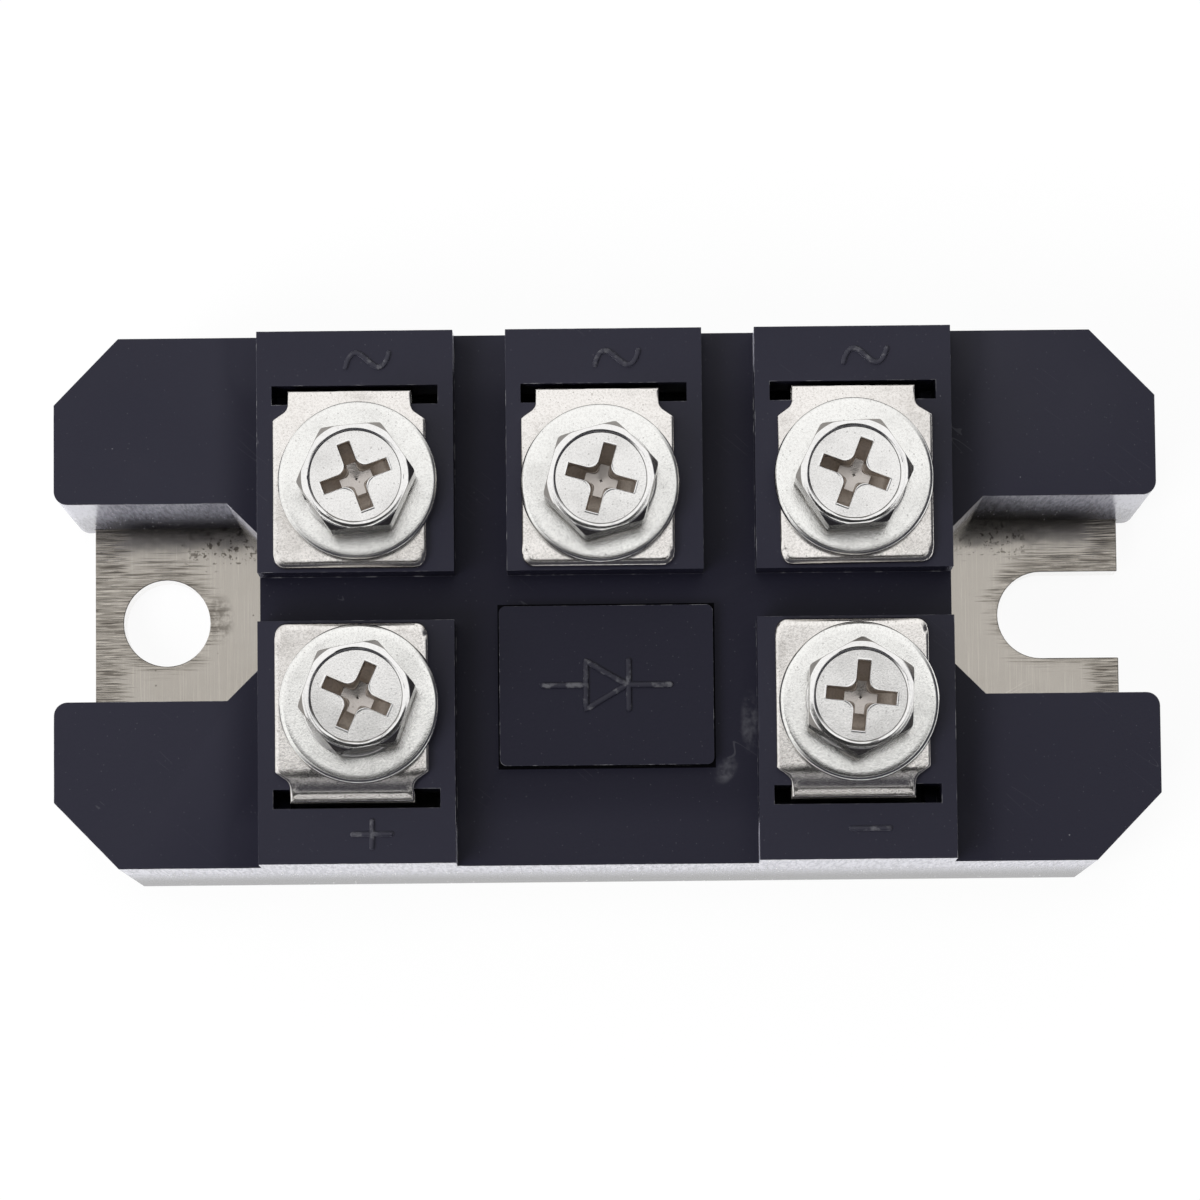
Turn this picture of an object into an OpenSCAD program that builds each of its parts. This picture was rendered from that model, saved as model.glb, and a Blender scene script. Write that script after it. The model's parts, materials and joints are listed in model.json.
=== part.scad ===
// Three-phase bridge rectifier module.
// A moulded housing stands on a nickel-plated base plate. Five folded sheet-metal terminals come up
// through slots in raised blocks and are held by hexagon screws. Six diode chips are soldered inside.
// X runs along the module, Y from the direct-current side to the alternating-current side, Z up.
// The origin is the middle of the base plate's underside.

/* [Housing] */
// Length of the housing over its ears
body_l = 80.2; // [78:0.1:90]
// Width of the housing at its upper edge
body_w = 38.7; // [38:0.1:44]
// Height of the ears and of the deck between the terminal blocks
deck_h = 19.5; // [18.5:0.1:24]
// Outward lean of the outer walls over the deck height
wall_lean = 0.3; // [0.1:0.05:0.6]
// Length of the chamfer on each outer corner
corner_l = 4.7; // [3:0.1:6]
// Width of the chamfer on each outer corner
corner_w = 4.85; // [3:0.1:6]
// Thickness of the moulded walls and roof
wall_t = 2; // [1.6:0.1:2.4]
// Thickness of the rim that surrounds the base plate
rim_t = 1.5; // [1.2:0.1:1.9]

/* [Mounting recesses] */
// Width of the recess in each end
recess_w = 14.4; // [12:0.1:16]
// Side of the chamfer in the inner corners of each recess
recess_chamfer = 2.4; // [1:0.1:4]
// Radius on the tips of the ears beside each recess
ear_tip_r = 1; // [0.4:0.1:2]

/* [Terminal blocks] */
// Distance between neighbouring terminal blocks
block_pitch = 18; // [17.5:0.1:19.5]
// Width of each terminal block
block_w = 14.2; // [13.6:0.1:15.4]
// Height of the blocks above the deck
block_rise = 3.5; // [3:0.1:5]
// Width of the valley between the two rows of blocks
valley_w = 3.5; // [2:0.1:5]
// Length of the slot in each block
slot_l = 12; // [11.6:0.1:12.6]
// Distance from a block's outer wall to its slot
slot_inset = 4.05; // [3.4:0.05:4.4]
// Play that the slot leaves to the thickness of the terminal
slot_play = 0.57; // [0.3:0.01:0.8]

/* [Nameplate] */
// Length of the raised nameplate pad
pad_l = 15.5; // [10:0.1:18]
// Width of the raised nameplate pad
pad_w = 11.6; // [8:0.1:14]
// Height of the pad above the deck
pad_rise = 1; // [0.5:0.1:2]
// Distance from the middle of the module to the middle of the pad
pad_y = 6.4; // [6:0.1:8]
// Corner radius of the pad
pad_corner_r = 0.5; // [0.2:0.1:2]

/* [Base plate] */
// Thickness of the base plate
plate_t = 3; // [2:0.1:4]
// Clearance between the plate and the rim around it
plate_gap = 0.1; // [0.05:0.05:0.3]
// How far the plate stands proud of the housing underneath
plate_proud = 0.2; // [0.1:0.05:0.5]
// Diameter of the mounting hole and width of the open mounting slot
mount_d = 6.5; // [5.5:0.1:7]
// Distance from the plate's end to the middle of the mounting hole
mount_inset = 5.4; // [4.6:0.05:6.5]
// Length of the open mounting slot, from the plate's other end to its round bottom
mount_slot_l = 9.05; // [8:0.05:9.8]

/* [Terminals] */
// Thickness of the terminal metal
terminal_t = 0.8; // [0.6:0.05:1]
// Width of the flat tab
tab_w = 11.05; // [10:0.05:11.4]
// Width of the strap that passes the slot
neck_w = 8.9; // [7:0.1:9.4]
// Length of the neck between the bend and the shoulders
neck_l = 1; // [0.8:0.1:2]
// Corner radius of the tab's free end
tab_corner_r = 0.9; // [0.3:0.1:2]
// Distance from the tab's free end to the valley
tab_setback = 0.2; // [0.1:0.05:1]
// Inner radius of the bends
bend_r = 0.1; // [0.05:0.05:0.3]
// Clearance between the start of the bend and the inner side of the slot
strap_gap = 0.06; // [0.06:0.01:0.1]
// Diameter of the screw hole in the tab
tab_hole_d = 6.4; // [6.3:0.1:6.8]
// Length of the feet of the two direct-current terminals
foot_l = 3.6; // [2.6:0.1:4.2]
// Depth of the crossbar at the foot of each alternating-current terminal
crossbar_w = 4.2; // [3:0.1:5]

/* [Screws and washers] */
// Distance from the slot in each block to the axis of its screw
screw_setback = 5.93; // [5.65:0.01:6.2]
// Nominal diameter of the screws
screw_d = 5; // [4.6:0.1:5]
// Length of the screw shank
screw_l = 12; // [10:0.5:12]
// Width across the flats of the screw head
head_af = 8; // [7:0.1:8.4]
// Height of the screw head
head_h = 3.5; // [3.2:0.1:4.5]
// Height of the bevel around the top of the head
head_bevel_h = 0.6; // [0.3:0.05:0.9]
// Width of the flat rim around the dish
head_rim_w = 0.35; // [0.2:0.05:0.5]
// Width across the rounded corners of the head
head_corners_d = 8.75; // [8.3:0.05:9]
// Diameter of the dish in the top of the head
dish_d = 6.5; // [5.4:0.1:6.6]
// Depth of the dish
dish_depth = 0.45; // [0.2:0.05:0.8]
// Span of the cross recess
cross_span = 5; // [4:0.1:5.2]
// Width of each arm of the cross recess
cross_arm_w = 0.95; // [0.8:0.05:1.3]
// Depth of the cross recess below the dish
cross_depth = 2; // [1.5:0.1:2.4]
// Width across the flats of the nuts
nut_af = 8; // [7.6:0.1:8.2]
// Height of the nuts
nut_h = 4; // [3.5:0.1:4.2]
// Play of each nut in its pocket, on every side
nut_play = 0.45; // [0.4:0.05:0.6]
// Running clearance between the screw and the nut's bore
thread_gap = 0.05; // [0.02:0.01:0.08]
// Outer diameter of the flat washers
washer_d = 11.5; // [10:0.1:12]
// Hole diameter of the flat washers
washer_hole_d = 5.8; // [5.6:0.1:6.2]
// Thickness of the flat washers
washer_t = 1; // [0.8:0.05:1.2]
// Outer diameter of the spring washers
spring_d = 8.3; // [8:0.1:8.7]
// Hole diameter of the spring washers
spring_hole_d = 5.2; // [5.1:0.05:5.6]
// Thickness of the spring washers when flat
spring_t = 1.2; // [1:0.05:1.5]
// Width of the split in the spring washers
spring_split = 0.7; // [0.4:0.1:1.2]

/* [Inside] */
// Thickness of the ceramic substrate
ceramic_t = 0.8; // [0.6:0.05:1]
// Clearance between the ceramic and the housing walls
ceramic_gap = 0.4; // [0.2:0.1:0.8]
// Thickness of the copper buses
bus_t = 1; // [0.6:0.1:1.2]
// Insulating gap between the two buses
bus_gap = 1.2; // [1:0.1:1.6]
// Side of each diode chip
chip_w = 6.5; // [5:0.1:6.8]
// Thickness of each diode chip with its solder
chip_t = 0.5; // [0.4:0.05:0.8]
// Distance between neighbouring phases along the buses
chip_pitch = 12.2; // [11.8:0.1:12.6]
// Margin of copper around each chip
chip_margin = 0.35; // [0.2:0.05:0.5]
// Distance between the chips on the negative bus and the crossbars beside them
crossbar_gap = 1.54; // [1.2:0.02:2.1]
// Distance between the chips on the positive bus and the direct-current feet beside them
foot_gap = 1.24; // [1:0.02:2]
// Width of the finger that joins the two chips of a phase
finger_w = 5.5; // [4:0.1:5.8]
// Clearance between the potting and the screw bosses above it
potting_gap = 0.5; // [0.2:0.1:2]

/* [Hidden] */
$fn = 64;

// Overshoot of cuts beyond the faces that they open
cut = 1;

// Heights
block_top = deck_h + block_rise;
roof_z = deck_h - wall_t;
tab_top = block_top + terminal_t;
washer_top = tab_top + washer_t;
spring_top = washer_top + spring_t;
screw_tip = spring_top - screw_l;
pocket_floor = block_top - nut_h - nut_play;
well_floor = screw_tip - nut_play;
boss_bottom = well_floor - wall_t;
ceramic_top = plate_t + ceramic_t;
bus_top = ceramic_top + bus_t;
chip_top = bus_top + chip_t;
potting_top = boss_bottom - potting_gap;

// Plan sizes
block_end_x = block_pitch + block_w / 2;
recess_y = recess_w / 2;
plate_end_x = body_l / 2 - rim_t - plate_gap;
mount_x = plate_end_x - mount_inset;
mount_slot_x = plate_end_x - mount_slot_l + mount_d / 2;
cavity_l = 2 * (block_end_x - wall_t);
cavity_w = body_w - 2 * wall_t;
corner_turn = atan2(corner_l, corner_w);
corner_reach = (body_l * corner_w + body_w * corner_l - 2 * corner_l * corner_w) / 2 / norm([corner_l, corner_w]);
slot_w = terminal_t + slot_play;
slot_outer_y = body_w / 2 - slot_inset;
strap_in_y = slot_outer_y - slot_w + strap_gap + bend_r;
strap_out_y = strap_in_y + terminal_t;
bend_start_y = strap_in_y - bend_r;
tab_end_y = valley_w / 2 + tab_setback;
screw_y = slot_outer_y - slot_w - screw_setback;
well_d = screw_d + 2 * nut_play;
boss_d = well_d + 2 * wall_t;

// Places of the inner parts
foot_end_y = strap_out_y - foot_l;
positive_row_y = foot_end_y - foot_gap - chip_w / 2;
negative_row_y = bend_start_y - crossbar_w - crossbar_gap - chip_w / 2;
chip_first_x = -16;
pad_reach = chip_w / 2 + chip_margin;
bus_reach = cavity_l / 2 - ceramic_gap - chip_margin;
positive_bus_end = chip_first_x + 2 * chip_pitch + pad_reach;
finger_end_y = -positive_row_y - chip_w / 2;

// The five terminals in the order AC 1, AC 2, AC 3, positive, negative.
// The small shifts and turns are the play that each piece took up when its screw was tightened.
block_column = [-1, 0, 1, -1, 1];
block_side = [1, 1, 1, -1, -1];
tab_shift = [-0.38, -0.47, 0.02, -0.32, -0.32];
tab_turn = [0, 0, 0.7, 0, 0];
screw_shift = [[0.29, -0.02], [-0.23, -0.33], [-0.17, -0.09], [0.28, -0.3], [0.09, 0.02]];
washer_shift = [[-0.04, 0.22], [-0.07, 0.18], [0.12, 0.24], [-0.03, 0.19], [0.03, 0.03]];
head_turn = [5, 15, 3.5, 10, 28];
cross_turn = [20, -15.5, -21, -24, -6];
split_turn = [200, 330, 80, 150, 260];

// Half-width of the leaning outer walls at a height z
function wall_y(z) = body_w / 2 + wall_lean * (1 - z / deck_h);
function block_x(i) = block_column[i] * block_pitch;
function strap_x(i) = block_x(i) + tab_shift[i];
function chip_x(phase) = chip_first_x + phase * chip_pitch;
function screw_place(i) = [block_x(i) + screw_shift[i][0], block_side[i] * (screw_y + screw_shift[i][1]), 0];
function washer_place(i) = screw_place(i) + [washer_shift[i][0], block_side[i] * washer_shift[i][1], 0];

// Stands its children, drawn in (Y, Z), along X with their middle at X = 0
module along_x(length) {
    translate([-length / 2, 0, 0])
        rotate([90, 0, 90])
            linear_extrude(length)
                children();
}

// Raises its children, drawn in plan, from one height to another
module between(low, high) {
    translate([0, 0, low])
        linear_extrude(high - low)
            children();
}

// A rectangle with four round corners
module round_rect(l, w, r) {
    square([l - 2 * r, w], center = true);
    square([l, w - 2 * r], center = true);
    for (x = [-1, 1], y = [-1, 1])
        translate([x * (l / 2 - r), y * (w / 2 - r)])
            circle(r);
}

// A hexagon that measures af across its flats
module hexagon(af) {
    circle(af / sqrt(3), $fn = 6);
}

// Moves its children, drawn for a block on the alternating-current side, to block i
module at_block(i) {
    translate([block_x(i), 0, 0])
        mirror([0, block_side[i] < 0 ? 1 : 0, 0])
            children();
}

// The bands across the module that cut its four outer corners at a distance of reach
module corner_bands(reach) {
    intersection() {
        rotate(corner_turn)
            square([2 * reach, 2 * body_l], center = true);
        rotate(-corner_turn)
            square([2 * reach, 2 * body_l], center = true);
    }
}

// The chamfered outline of the module, every side moved inward by inset
module module_outline(inset) {
    intersection() {
        square([body_l - 2 * inset, body_w - 2 * inset], center = true);
        corner_bands(corner_reach - inset);
    }
}

// The recess in the +X end, with round tips on the ears beside it
module recess_outline() {
    flare_x = block_end_x + recess_chamfer;
    inner_y = recess_y - recess_chamfer;
    polygon([
        [block_end_x, -inner_y], [flare_x, -recess_y], [body_l, -recess_y],
        [body_l, recess_y], [flare_x, recess_y], [block_end_x, inner_y]
    ]);
    for (side = [0, 1])
        mirror([0, side])
            translate([body_l / 2 - ear_tip_r, recess_y + ear_tip_r])
                difference() {
                    translate([0, -ear_tip_r - cut])
                        square([ear_tip_r + cut, ear_tip_r + cut]);
                    circle(ear_tip_r);
                }
}

// The outline of the housing at its foot
module housing_outline() {
    difference() {
        intersection() {
            square([body_l, 2 * wall_y(0)], center = true);
            corner_bands(corner_reach);
        }
        for (end = [0, 1])
            mirror([end, 0])
                recess_outline();
    }
}

// The housing before it is hollowed: ears and deck, five blocks and the nameplate pad
module housing_form() {
    intersection() {
        along_x(body_l)
            polygon([
                [-wall_y(plate_proud), plate_proud], [wall_y(plate_proud), plate_proud],
                [wall_y(block_top), block_top], [-wall_y(block_top), block_top]
            ]);
        between(plate_proud, block_top)
            housing_outline();
        union() {
            between(0, deck_h)
                square([2 * body_l, 2 * body_w], center = true);
            for (i = [0:4])
                at_block(i)
                    between(0, block_top + cut)
                        translate([-block_w / 2, valley_w / 2])
                            square([block_w, body_w]);
        }
    }
    between(roof_z, deck_h + pad_rise)
        translate([0, -pad_y])
            round_rect(pad_l, pad_w, pad_corner_r);
}

// The room inside: the seat of the base plate, the cavity and the cores of the four ears
module housing_room() {
    between(0, plate_t)
        module_outline(rim_t);
    between(0, roof_z)
        square([cavity_l, cavity_w], center = true);
    for (end = [0, 1], side = [0, 1])
        mirror([end, 0])
            mirror([0, side])
                between(0, roof_z)
                    intersection() {
                        module_outline(wall_t);
                        translate([block_end_x + wall_t, recess_y + wall_t])
                            square([body_l, body_w]);
                    }
}

// What each terminal needs in its block: a slot, a pocket for the nut and a well for the screw's end
module block_openings() {
    between(roof_z - cut, block_top + cut)
        translate([-slot_l / 2, slot_outer_y - slot_w])
            square([slot_l, slot_w]);
    translate([0, screw_y, 0]) {
        between(pocket_floor, block_top + cut)
            hexagon(nut_af + 2 * nut_play);
        between(well_floor, pocket_floor + cut)
            circle(d = well_d);
    }
}

module housing() {
    color("#34333e")
        difference() {
            union() {
                difference() {
                    housing_form();
                    housing_room();
                }
                for (i = [0:4])
                    at_block(i)
                        translate([0, screw_y, 0])
                            between(boss_bottom, roof_z + cut)
                                circle(d = boss_d);
            }
            for (i = [0:4])
                at_block(i)
                    block_openings();
        }
}

// The plate has a round mounting hole at one end and a slot open to the other end
module base_plate() {
    color("#a8a198")
        difference() {
            between(0, plate_t)
                module_outline(rim_t + plate_gap);
            translate([-mount_x, 0, -cut])
                cylinder(h = plate_t + 2 * cut, d = mount_d);
            translate([mount_slot_x, 0, -cut])
                cylinder(h = plate_t + 2 * cut, d = mount_d);
            translate([mount_slot_x, -mount_d / 2, -cut])
                cube([body_l, mount_d, plate_t + 2 * cut]);
        }
}

module ceramic_substrate() {
    color("#ece8e0")
        between(plate_t, ceramic_top)
            square([cavity_l - 2 * ceramic_gap, cavity_w - 2 * ceramic_gap], center = true);
}

// The positive bus lies under the first row of chips and reaches out under the positive terminal's foot
module positive_bus() {
    color("#b87343")
        between(ceramic_top, bus_top)
            translate([-bus_reach, -strap_out_y])
                square([bus_reach + positive_bus_end, strap_out_y - positive_row_y + pad_reach]);
}

// The negative bus lies under the second row and has a leg beside the positive bus to its terminal
module negative_bus() {
    leg_x = positive_bus_end + bus_gap;
    row_top = negative_row_y + pad_reach;
    color("#b87343")
        between(ceramic_top, bus_top) {
            translate([-bus_reach, negative_row_y - pad_reach])
                square([2 * bus_reach, 2 * pad_reach]);
            translate([leg_x, -strap_out_y])
                square([bus_reach - leg_x, strap_out_y + row_top]);
        }
}

// Chips 1 to 3 are on the positive bus and chips 4 to 6 on the negative bus
module diode_chip(number) {
    row_y = number <= 3 ? -positive_row_y : negative_row_y;
    color("#5b5e66")
        between(bus_top, chip_top)
            translate([chip_x((number - 1) % 3), row_y])
                square(chip_w, center = true);
}

// A band from y = low_y to high_y and z = low to high whose two corners at high_y are round
module end_rounded(low_y, high_y, low, high, r) {
    translate([low_y, low])
        square([high_y - low_y - r, high - low]);
    translate([low_y, low + r])
        square([high_y - low_y, high - low - 2 * r]);
    for (z = [low + r, high - r])
        translate([high_y - r, z])
            circle(r);
}

// Side view of a terminal: a strap of one thickness with a bend above the block and one at its foot
module strap_section(low) {
    difference() {
        end_rounded(tab_end_y, strap_out_y, low, tab_top, bend_r + terminal_t);
        end_rounded(tab_end_y - cut, strap_in_y, low + terminal_t, block_top, bend_r);
    }
}

// Plan of the tab: a free end with round corners, and shoulders that narrow to the neck
module tab_outline() {
    shoulder_y = strap_out_y - neck_l;
    full_y = shoulder_y - (tab_w - neck_w) / 2;
    r = tab_corner_r;
    translate([-tab_w / 2 + r, tab_end_y])
        square([tab_w - 2 * r, full_y - tab_end_y]);
    translate([-tab_w / 2, tab_end_y + r])
        square([tab_w, full_y - tab_end_y - r]);
    for (x = [-1, 1])
        translate([x * (tab_w / 2 - r), tab_end_y + r])
            circle(r);
    polygon([
        [-tab_w / 2, full_y], [tab_w / 2, full_y],
        [neck_w / 2, shoulder_y], [-neck_w / 2, shoulder_y]
    ]);
    translate([-neck_w / 2, shoulder_y - cut])
        square([neck_w, neck_l + 2 * cut]);
}

// A folded terminal whose foot stands at height low. Its child is the plan of the foot inside the bend.
module terminal(i, low) {
    riser_y = bend_start_y - cut / 2;
    color("#c8c0b8")
        translate([tab_shift[i], 0, 0])
            at_block(i)
                translate([0, strap_in_y, 0])
                    rotate(tab_turn[i])
                        translate([0, -strap_in_y, 0])
                            difference() {
                                union() {
                                    intersection() {
                                        along_x(tab_w)
                                            strap_section(low);
                                        union() {
                                            between(low - cut, tab_top + cut)
                                                translate([-neck_w / 2, riser_y])
                                                    square([neck_w, strap_out_y + cut - riser_y]);
                                            between(block_top, tab_top + cut)
                                                tab_outline();
                                        }
                                    }
                                    between(low, low + terminal_t)
                                        children();
                                }
                                translate([0, screw_y, block_top - cut])
                                    cylinder(h = terminal_t + 2 * cut, d = tab_hole_d);
                            }
}

// The foot has a crossbar at the riser and a finger over the two chips of its phase
module terminal_ac(phase) {
    i = phase - 1;
    jog = chip_x(i) - strap_x(i);
    left = min(-neck_w / 2, jog - finger_w / 2);
    right = max(neck_w / 2, jog + finger_w / 2);
    terminal(i, chip_top) {
        translate([left, bend_start_y - crossbar_w])
            square([right - left, crossbar_w]);
        translate([jog - finger_w / 2, finger_end_y])
            square([finger_w, bend_start_y - finger_end_y]);
    }
}

// The foot stands on its bus
module terminal_dc(i) {
    terminal(i, bus_top)
        translate([-neck_w / 2, foot_end_y])
            square([neck_w, bend_start_y - foot_end_y]);
}

// The nuts are pulled up against the undersides of the tabs
module terminal_nuts() {
    nut_r = nut_af / sqrt(3);
    bevel = nut_r - nut_af / 2;
    bottom = block_top - nut_h;
    color("#d8d6d0")
        for (i = [0:4])
            translate(screw_place(i))
                difference() {
                    intersection() {
                        between(bottom, block_top)
                            hexagon(nut_af);
                        rotate_extrude()
                            polygon([
                                [0, bottom], [nut_af / 2, bottom], [nut_r, bottom + bevel / sqrt(3)],
                                [nut_r, block_top - bevel / sqrt(3)], [nut_af / 2, block_top], [0, block_top]
                            ]);
                    }
                    translate([0, 0, bottom - cut])
                        cylinder(h = nut_h + 2 * cut, d = screw_d + 2 * thread_gap);
                }
}

module flat_washers() {
    bevel = washer_t / 5;
    color("#dedcd6")
        for (i = [0:4])
            translate(washer_place(i) + [0, 0, tab_top])
                rotate_extrude()
                    polygon([
                        [washer_hole_d / 2, 0], [washer_d / 2 - bevel, 0], [washer_d / 2, bevel],
                        [washer_d / 2, washer_t - bevel], [washer_d / 2 - bevel, washer_t],
                        [washer_hole_d / 2, washer_t]
                    ]);
}

// Each ring has a slanted split
module spring_washers() {
    slant = 25;
    color("#d2d0ca")
        for (i = [0:4])
            translate(screw_place(i) + [0, 0, washer_top])
                difference() {
                    cylinder(h = spring_t, d = spring_d);
                    translate([0, 0, -cut])
                        cylinder(h = spring_t + 2 * cut, d = spring_hole_d);
                    rotate(split_turn[i])
                        translate([spring_d / 2, 0, spring_t / 2])
                            rotate([slant, 0, 0])
                                cube([spring_d, spring_split, 3 * spring_t], center = true);
                }
}

// Half-section of a screw: a shank with a bevelled tip, and a head with a dished top
module screw_section() {
    shank_r = screw_d / 2;
    tip_bevel = screw_d / 10;
    head_r = head_corners_d / 2;
    head_top = spring_top + head_h;
    rim_in_r = (dish_d + dish_depth) / 2;
    polygon([
        [0, screw_tip], [shank_r - tip_bevel, screw_tip], [shank_r, screw_tip + tip_bevel],
        [shank_r, spring_top], [head_r, spring_top], [head_r, head_top - head_bevel_h],
        [rim_in_r + head_rim_w, head_top], [rim_in_r, head_top],
        [dish_d / 2, head_top - dish_depth], [0, head_top - dish_depth]
    ]);
}

// The cross recess: the plan of a cross, cut to the depth of a pointed driver
module cross_recess() {
    floor_z = spring_top + head_h - dish_depth;
    shoulder_r = cross_span / 4;
    intersection() {
        between(floor_z - cross_depth, floor_z + cut) {
            for (turn = [0, 90])
                rotate(turn)
                    square([cross_span, cross_arm_w], center = true);
            rotate(45)
                square(2 * cross_arm_w, center = true);
        }
        rotate_extrude()
            polygon([
                [0, floor_z - cross_depth], [shoulder_r, floor_z - cross_depth * 0.7],
                [cross_span / 2, floor_z], [cross_span / 2, floor_z + cut], [0, floor_z + cut]
            ]);
    }
}

module terminal_screws() {
    head_top = spring_top + head_h;
    color("#e6e4df")
        for (i = [0:4])
            translate(screw_place(i))
                difference() {
                    intersection() {
                        rotate_extrude()
                            screw_section();
                        rotate(head_turn[i])
                            between(screw_tip, head_top)
                                hexagon(head_af);
                    }
                    rotate(cross_turn[i])
                        cross_recess();
                }
}

// The potting fills the foot of the cavity around the inner parts
module potting() {
    color("#2a2a2e")
        difference() {
            between(plate_t, potting_top)
                square([cavity_l, cavity_w], center = true);
            ceramic_substrate();
            positive_bus();
            negative_bus();
            for (number = [1:6])
                diode_chip(number);
            for (phase = [1:3])
                terminal_ac(phase);
            for (i = [3, 4])
                terminal_dc(i);
        }
}

housing();
base_plate();
ceramic_substrate();
positive_bus();
negative_bus();
diode_chip(1);  // diode_chip_1
diode_chip(2);  // diode_chip_2
diode_chip(3);  // diode_chip_3
diode_chip(4);  // diode_chip_4
diode_chip(5);  // diode_chip_5
diode_chip(6);  // diode_chip_6
terminal_ac(1);  // terminal_ac_1
terminal_ac(2);  // terminal_ac_2
terminal_ac(3);  // terminal_ac_3
terminal_dc(3);  // terminal_positive
terminal_dc(4);  // terminal_negative
terminal_nuts();
terminal_screws();
spring_washers();
flat_washers();
potting();
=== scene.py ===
import json
import math

import bmesh
import bpy
import numpy as np
from mathutils import Matrix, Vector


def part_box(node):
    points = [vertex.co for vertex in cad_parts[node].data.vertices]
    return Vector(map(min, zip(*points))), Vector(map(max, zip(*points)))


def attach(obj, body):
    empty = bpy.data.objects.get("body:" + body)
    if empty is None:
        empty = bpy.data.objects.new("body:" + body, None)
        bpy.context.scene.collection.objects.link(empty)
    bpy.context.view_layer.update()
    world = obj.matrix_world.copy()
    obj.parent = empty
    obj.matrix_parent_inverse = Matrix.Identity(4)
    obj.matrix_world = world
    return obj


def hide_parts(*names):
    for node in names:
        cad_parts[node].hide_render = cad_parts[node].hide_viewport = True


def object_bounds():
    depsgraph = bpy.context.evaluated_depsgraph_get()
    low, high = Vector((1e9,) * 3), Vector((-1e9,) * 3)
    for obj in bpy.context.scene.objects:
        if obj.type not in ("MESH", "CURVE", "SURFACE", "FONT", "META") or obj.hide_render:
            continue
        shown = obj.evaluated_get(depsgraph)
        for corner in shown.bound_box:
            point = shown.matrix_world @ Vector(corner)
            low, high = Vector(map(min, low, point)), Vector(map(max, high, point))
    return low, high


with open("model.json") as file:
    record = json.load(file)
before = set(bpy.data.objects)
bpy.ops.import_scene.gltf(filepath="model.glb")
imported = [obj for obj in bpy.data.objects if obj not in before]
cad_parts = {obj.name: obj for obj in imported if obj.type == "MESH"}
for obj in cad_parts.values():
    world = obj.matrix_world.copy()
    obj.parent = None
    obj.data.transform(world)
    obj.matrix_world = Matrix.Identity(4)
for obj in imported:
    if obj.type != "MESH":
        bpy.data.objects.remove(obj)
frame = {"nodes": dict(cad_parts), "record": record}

mm = 0.001
cadLow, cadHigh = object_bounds()
scene = bpy.context.scene

mounts = {mount["name"]: np.array(mount["pos_m"]) for mount in frame["record"]["mounts"]}
terminalNodes = ["terminal_ac_1", "terminal_ac_2", "terminal_ac_3",
                 "terminal_positive", "terminal_negative"]
seats = [mounts[node + "_seat"] for node in terminalNodes]


def meshPoints(mesh):
    points = np.empty(len(mesh.vertices) * 3, np.float32)
    mesh.vertices.foreach_get("co", points)
    return points.reshape(-1, 3)


def nodePoints(node):
    # every corner of a node's mesh, one row each
    return meshPoints(frame["nodes"][node].data).astype(float)


def solidBox(node, seat, reach=7 * mm):
    # box of the one solid of a node that stands round a terminal's seat
    points = nodePoints(node)
    near = points[np.hypot(points[:, 0] - seat[0], points[:, 1] - seat[1]) < reach]
    return near.min(0), near.max(0)


def upwardLevels(node):
    # heights of a node's level faces, the largest area first
    mesh = frame["nodes"][node].data
    normals = np.array([face.normal.z for face in mesh.polygons])
    heights = np.array([face.center.z for face in mesh.polygons])
    areas = np.array([face.area for face in mesh.polygons])
    keys = np.round(heights[normals > 0.999] / mm, 2)
    levels = np.unique(keys)
    sums = [areas[normals > 0.999][keys == level].sum() for level in levels]
    return [levels[i] * mm for i in np.argsort(sums)[::-1]]


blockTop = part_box("housing")[1].z
deckTop = [level for level in upwardLevels("housing") if level < blockTop - 1 * mm][0]
padTop = deckTop + 1 * mm
padPoints = nodePoints("housing")
padPoints = padPoints[(np.abs(padPoints[:, 2] - padTop) < 0.02 * mm)
                      & (np.abs(padPoints[:, 0]) < 15 * mm), :2]
padMiddle = (padPoints.min(0) + padPoints.max(0)) / 2
padHalf = (padPoints.max(0) - padPoints.min(0)) / 2
holePlace = mounts["mounting_hole"]
slotPlace = mounts["mounting_slot"]
print("frame read: deck", round(deckTop / mm, 2), "blocks", round(blockTop / mm, 2))


cameraLook = {
    "lens": 180.0,                              # mm, on a 36 mm sensor
    "place": (1.11, -41.66, 453.15),            # mm
    "turn": (0.0955, 0.0035, -0.0099),          # turns about X, Y and Z, in radians
}
lightLook = {
    "keyPlace": (-0.03, 0.09, 0.80),            # m, almost overhead, a little behind the module
    "keySize": 0.16,
    "keyPower": 1.2,
    "fillPlace": (-0.45, -0.35, 0.70),
    "fillSize": 0.50,
    "fillPower": 6.0,
    "darkSide": (0.60, -0.80),                  # the dome is dark towards this side
    "darkTurn": (-0.30, 0.25),                  # cosine of the turn away over which it fades
    "darkFall": (0.33, 0.55),                   # sine of the angle off the zenith where it starts
    "rimShare": 0.72,                           # brightness of the rest of the dome at the horizon
    "zenith": (1.0, 1.0, 1.0, 1),
    "horizon": (0.05, 0.05, 0.06, 1),
    "floorHalf": 2.0,                           # m
    "floorGap": 0.05 * mm,
    "floorGlow": 0.93,                          # share of the floor that shows as plain white
    "cardMiddle": (1.0, -98.0, 458.0),          # mm, a dark card behind the camera
    "cardHalf": (140.0, 98.0),                  # mm
}


def makeCamera(look):
    data = bpy.data.cameras.new("camera")
    data.sensor_width = 36
    data.lens = look["lens"]
    data.clip_start, data.clip_end = 0.02, 5
    camera = bpy.data.objects.new("camera", data)
    x, y, z = look["turn"]
    turn = Matrix.Rotation(x, 3, "X") @ Matrix.Rotation(y, 3, "Y") @ Matrix.Rotation(z, 3, "Z")
    camera.rotation_euler = turn.to_euler()
    camera.location = [value * mm for value in look["place"]]
    scene.collection.objects.link(camera)
    scene.camera = camera


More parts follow.
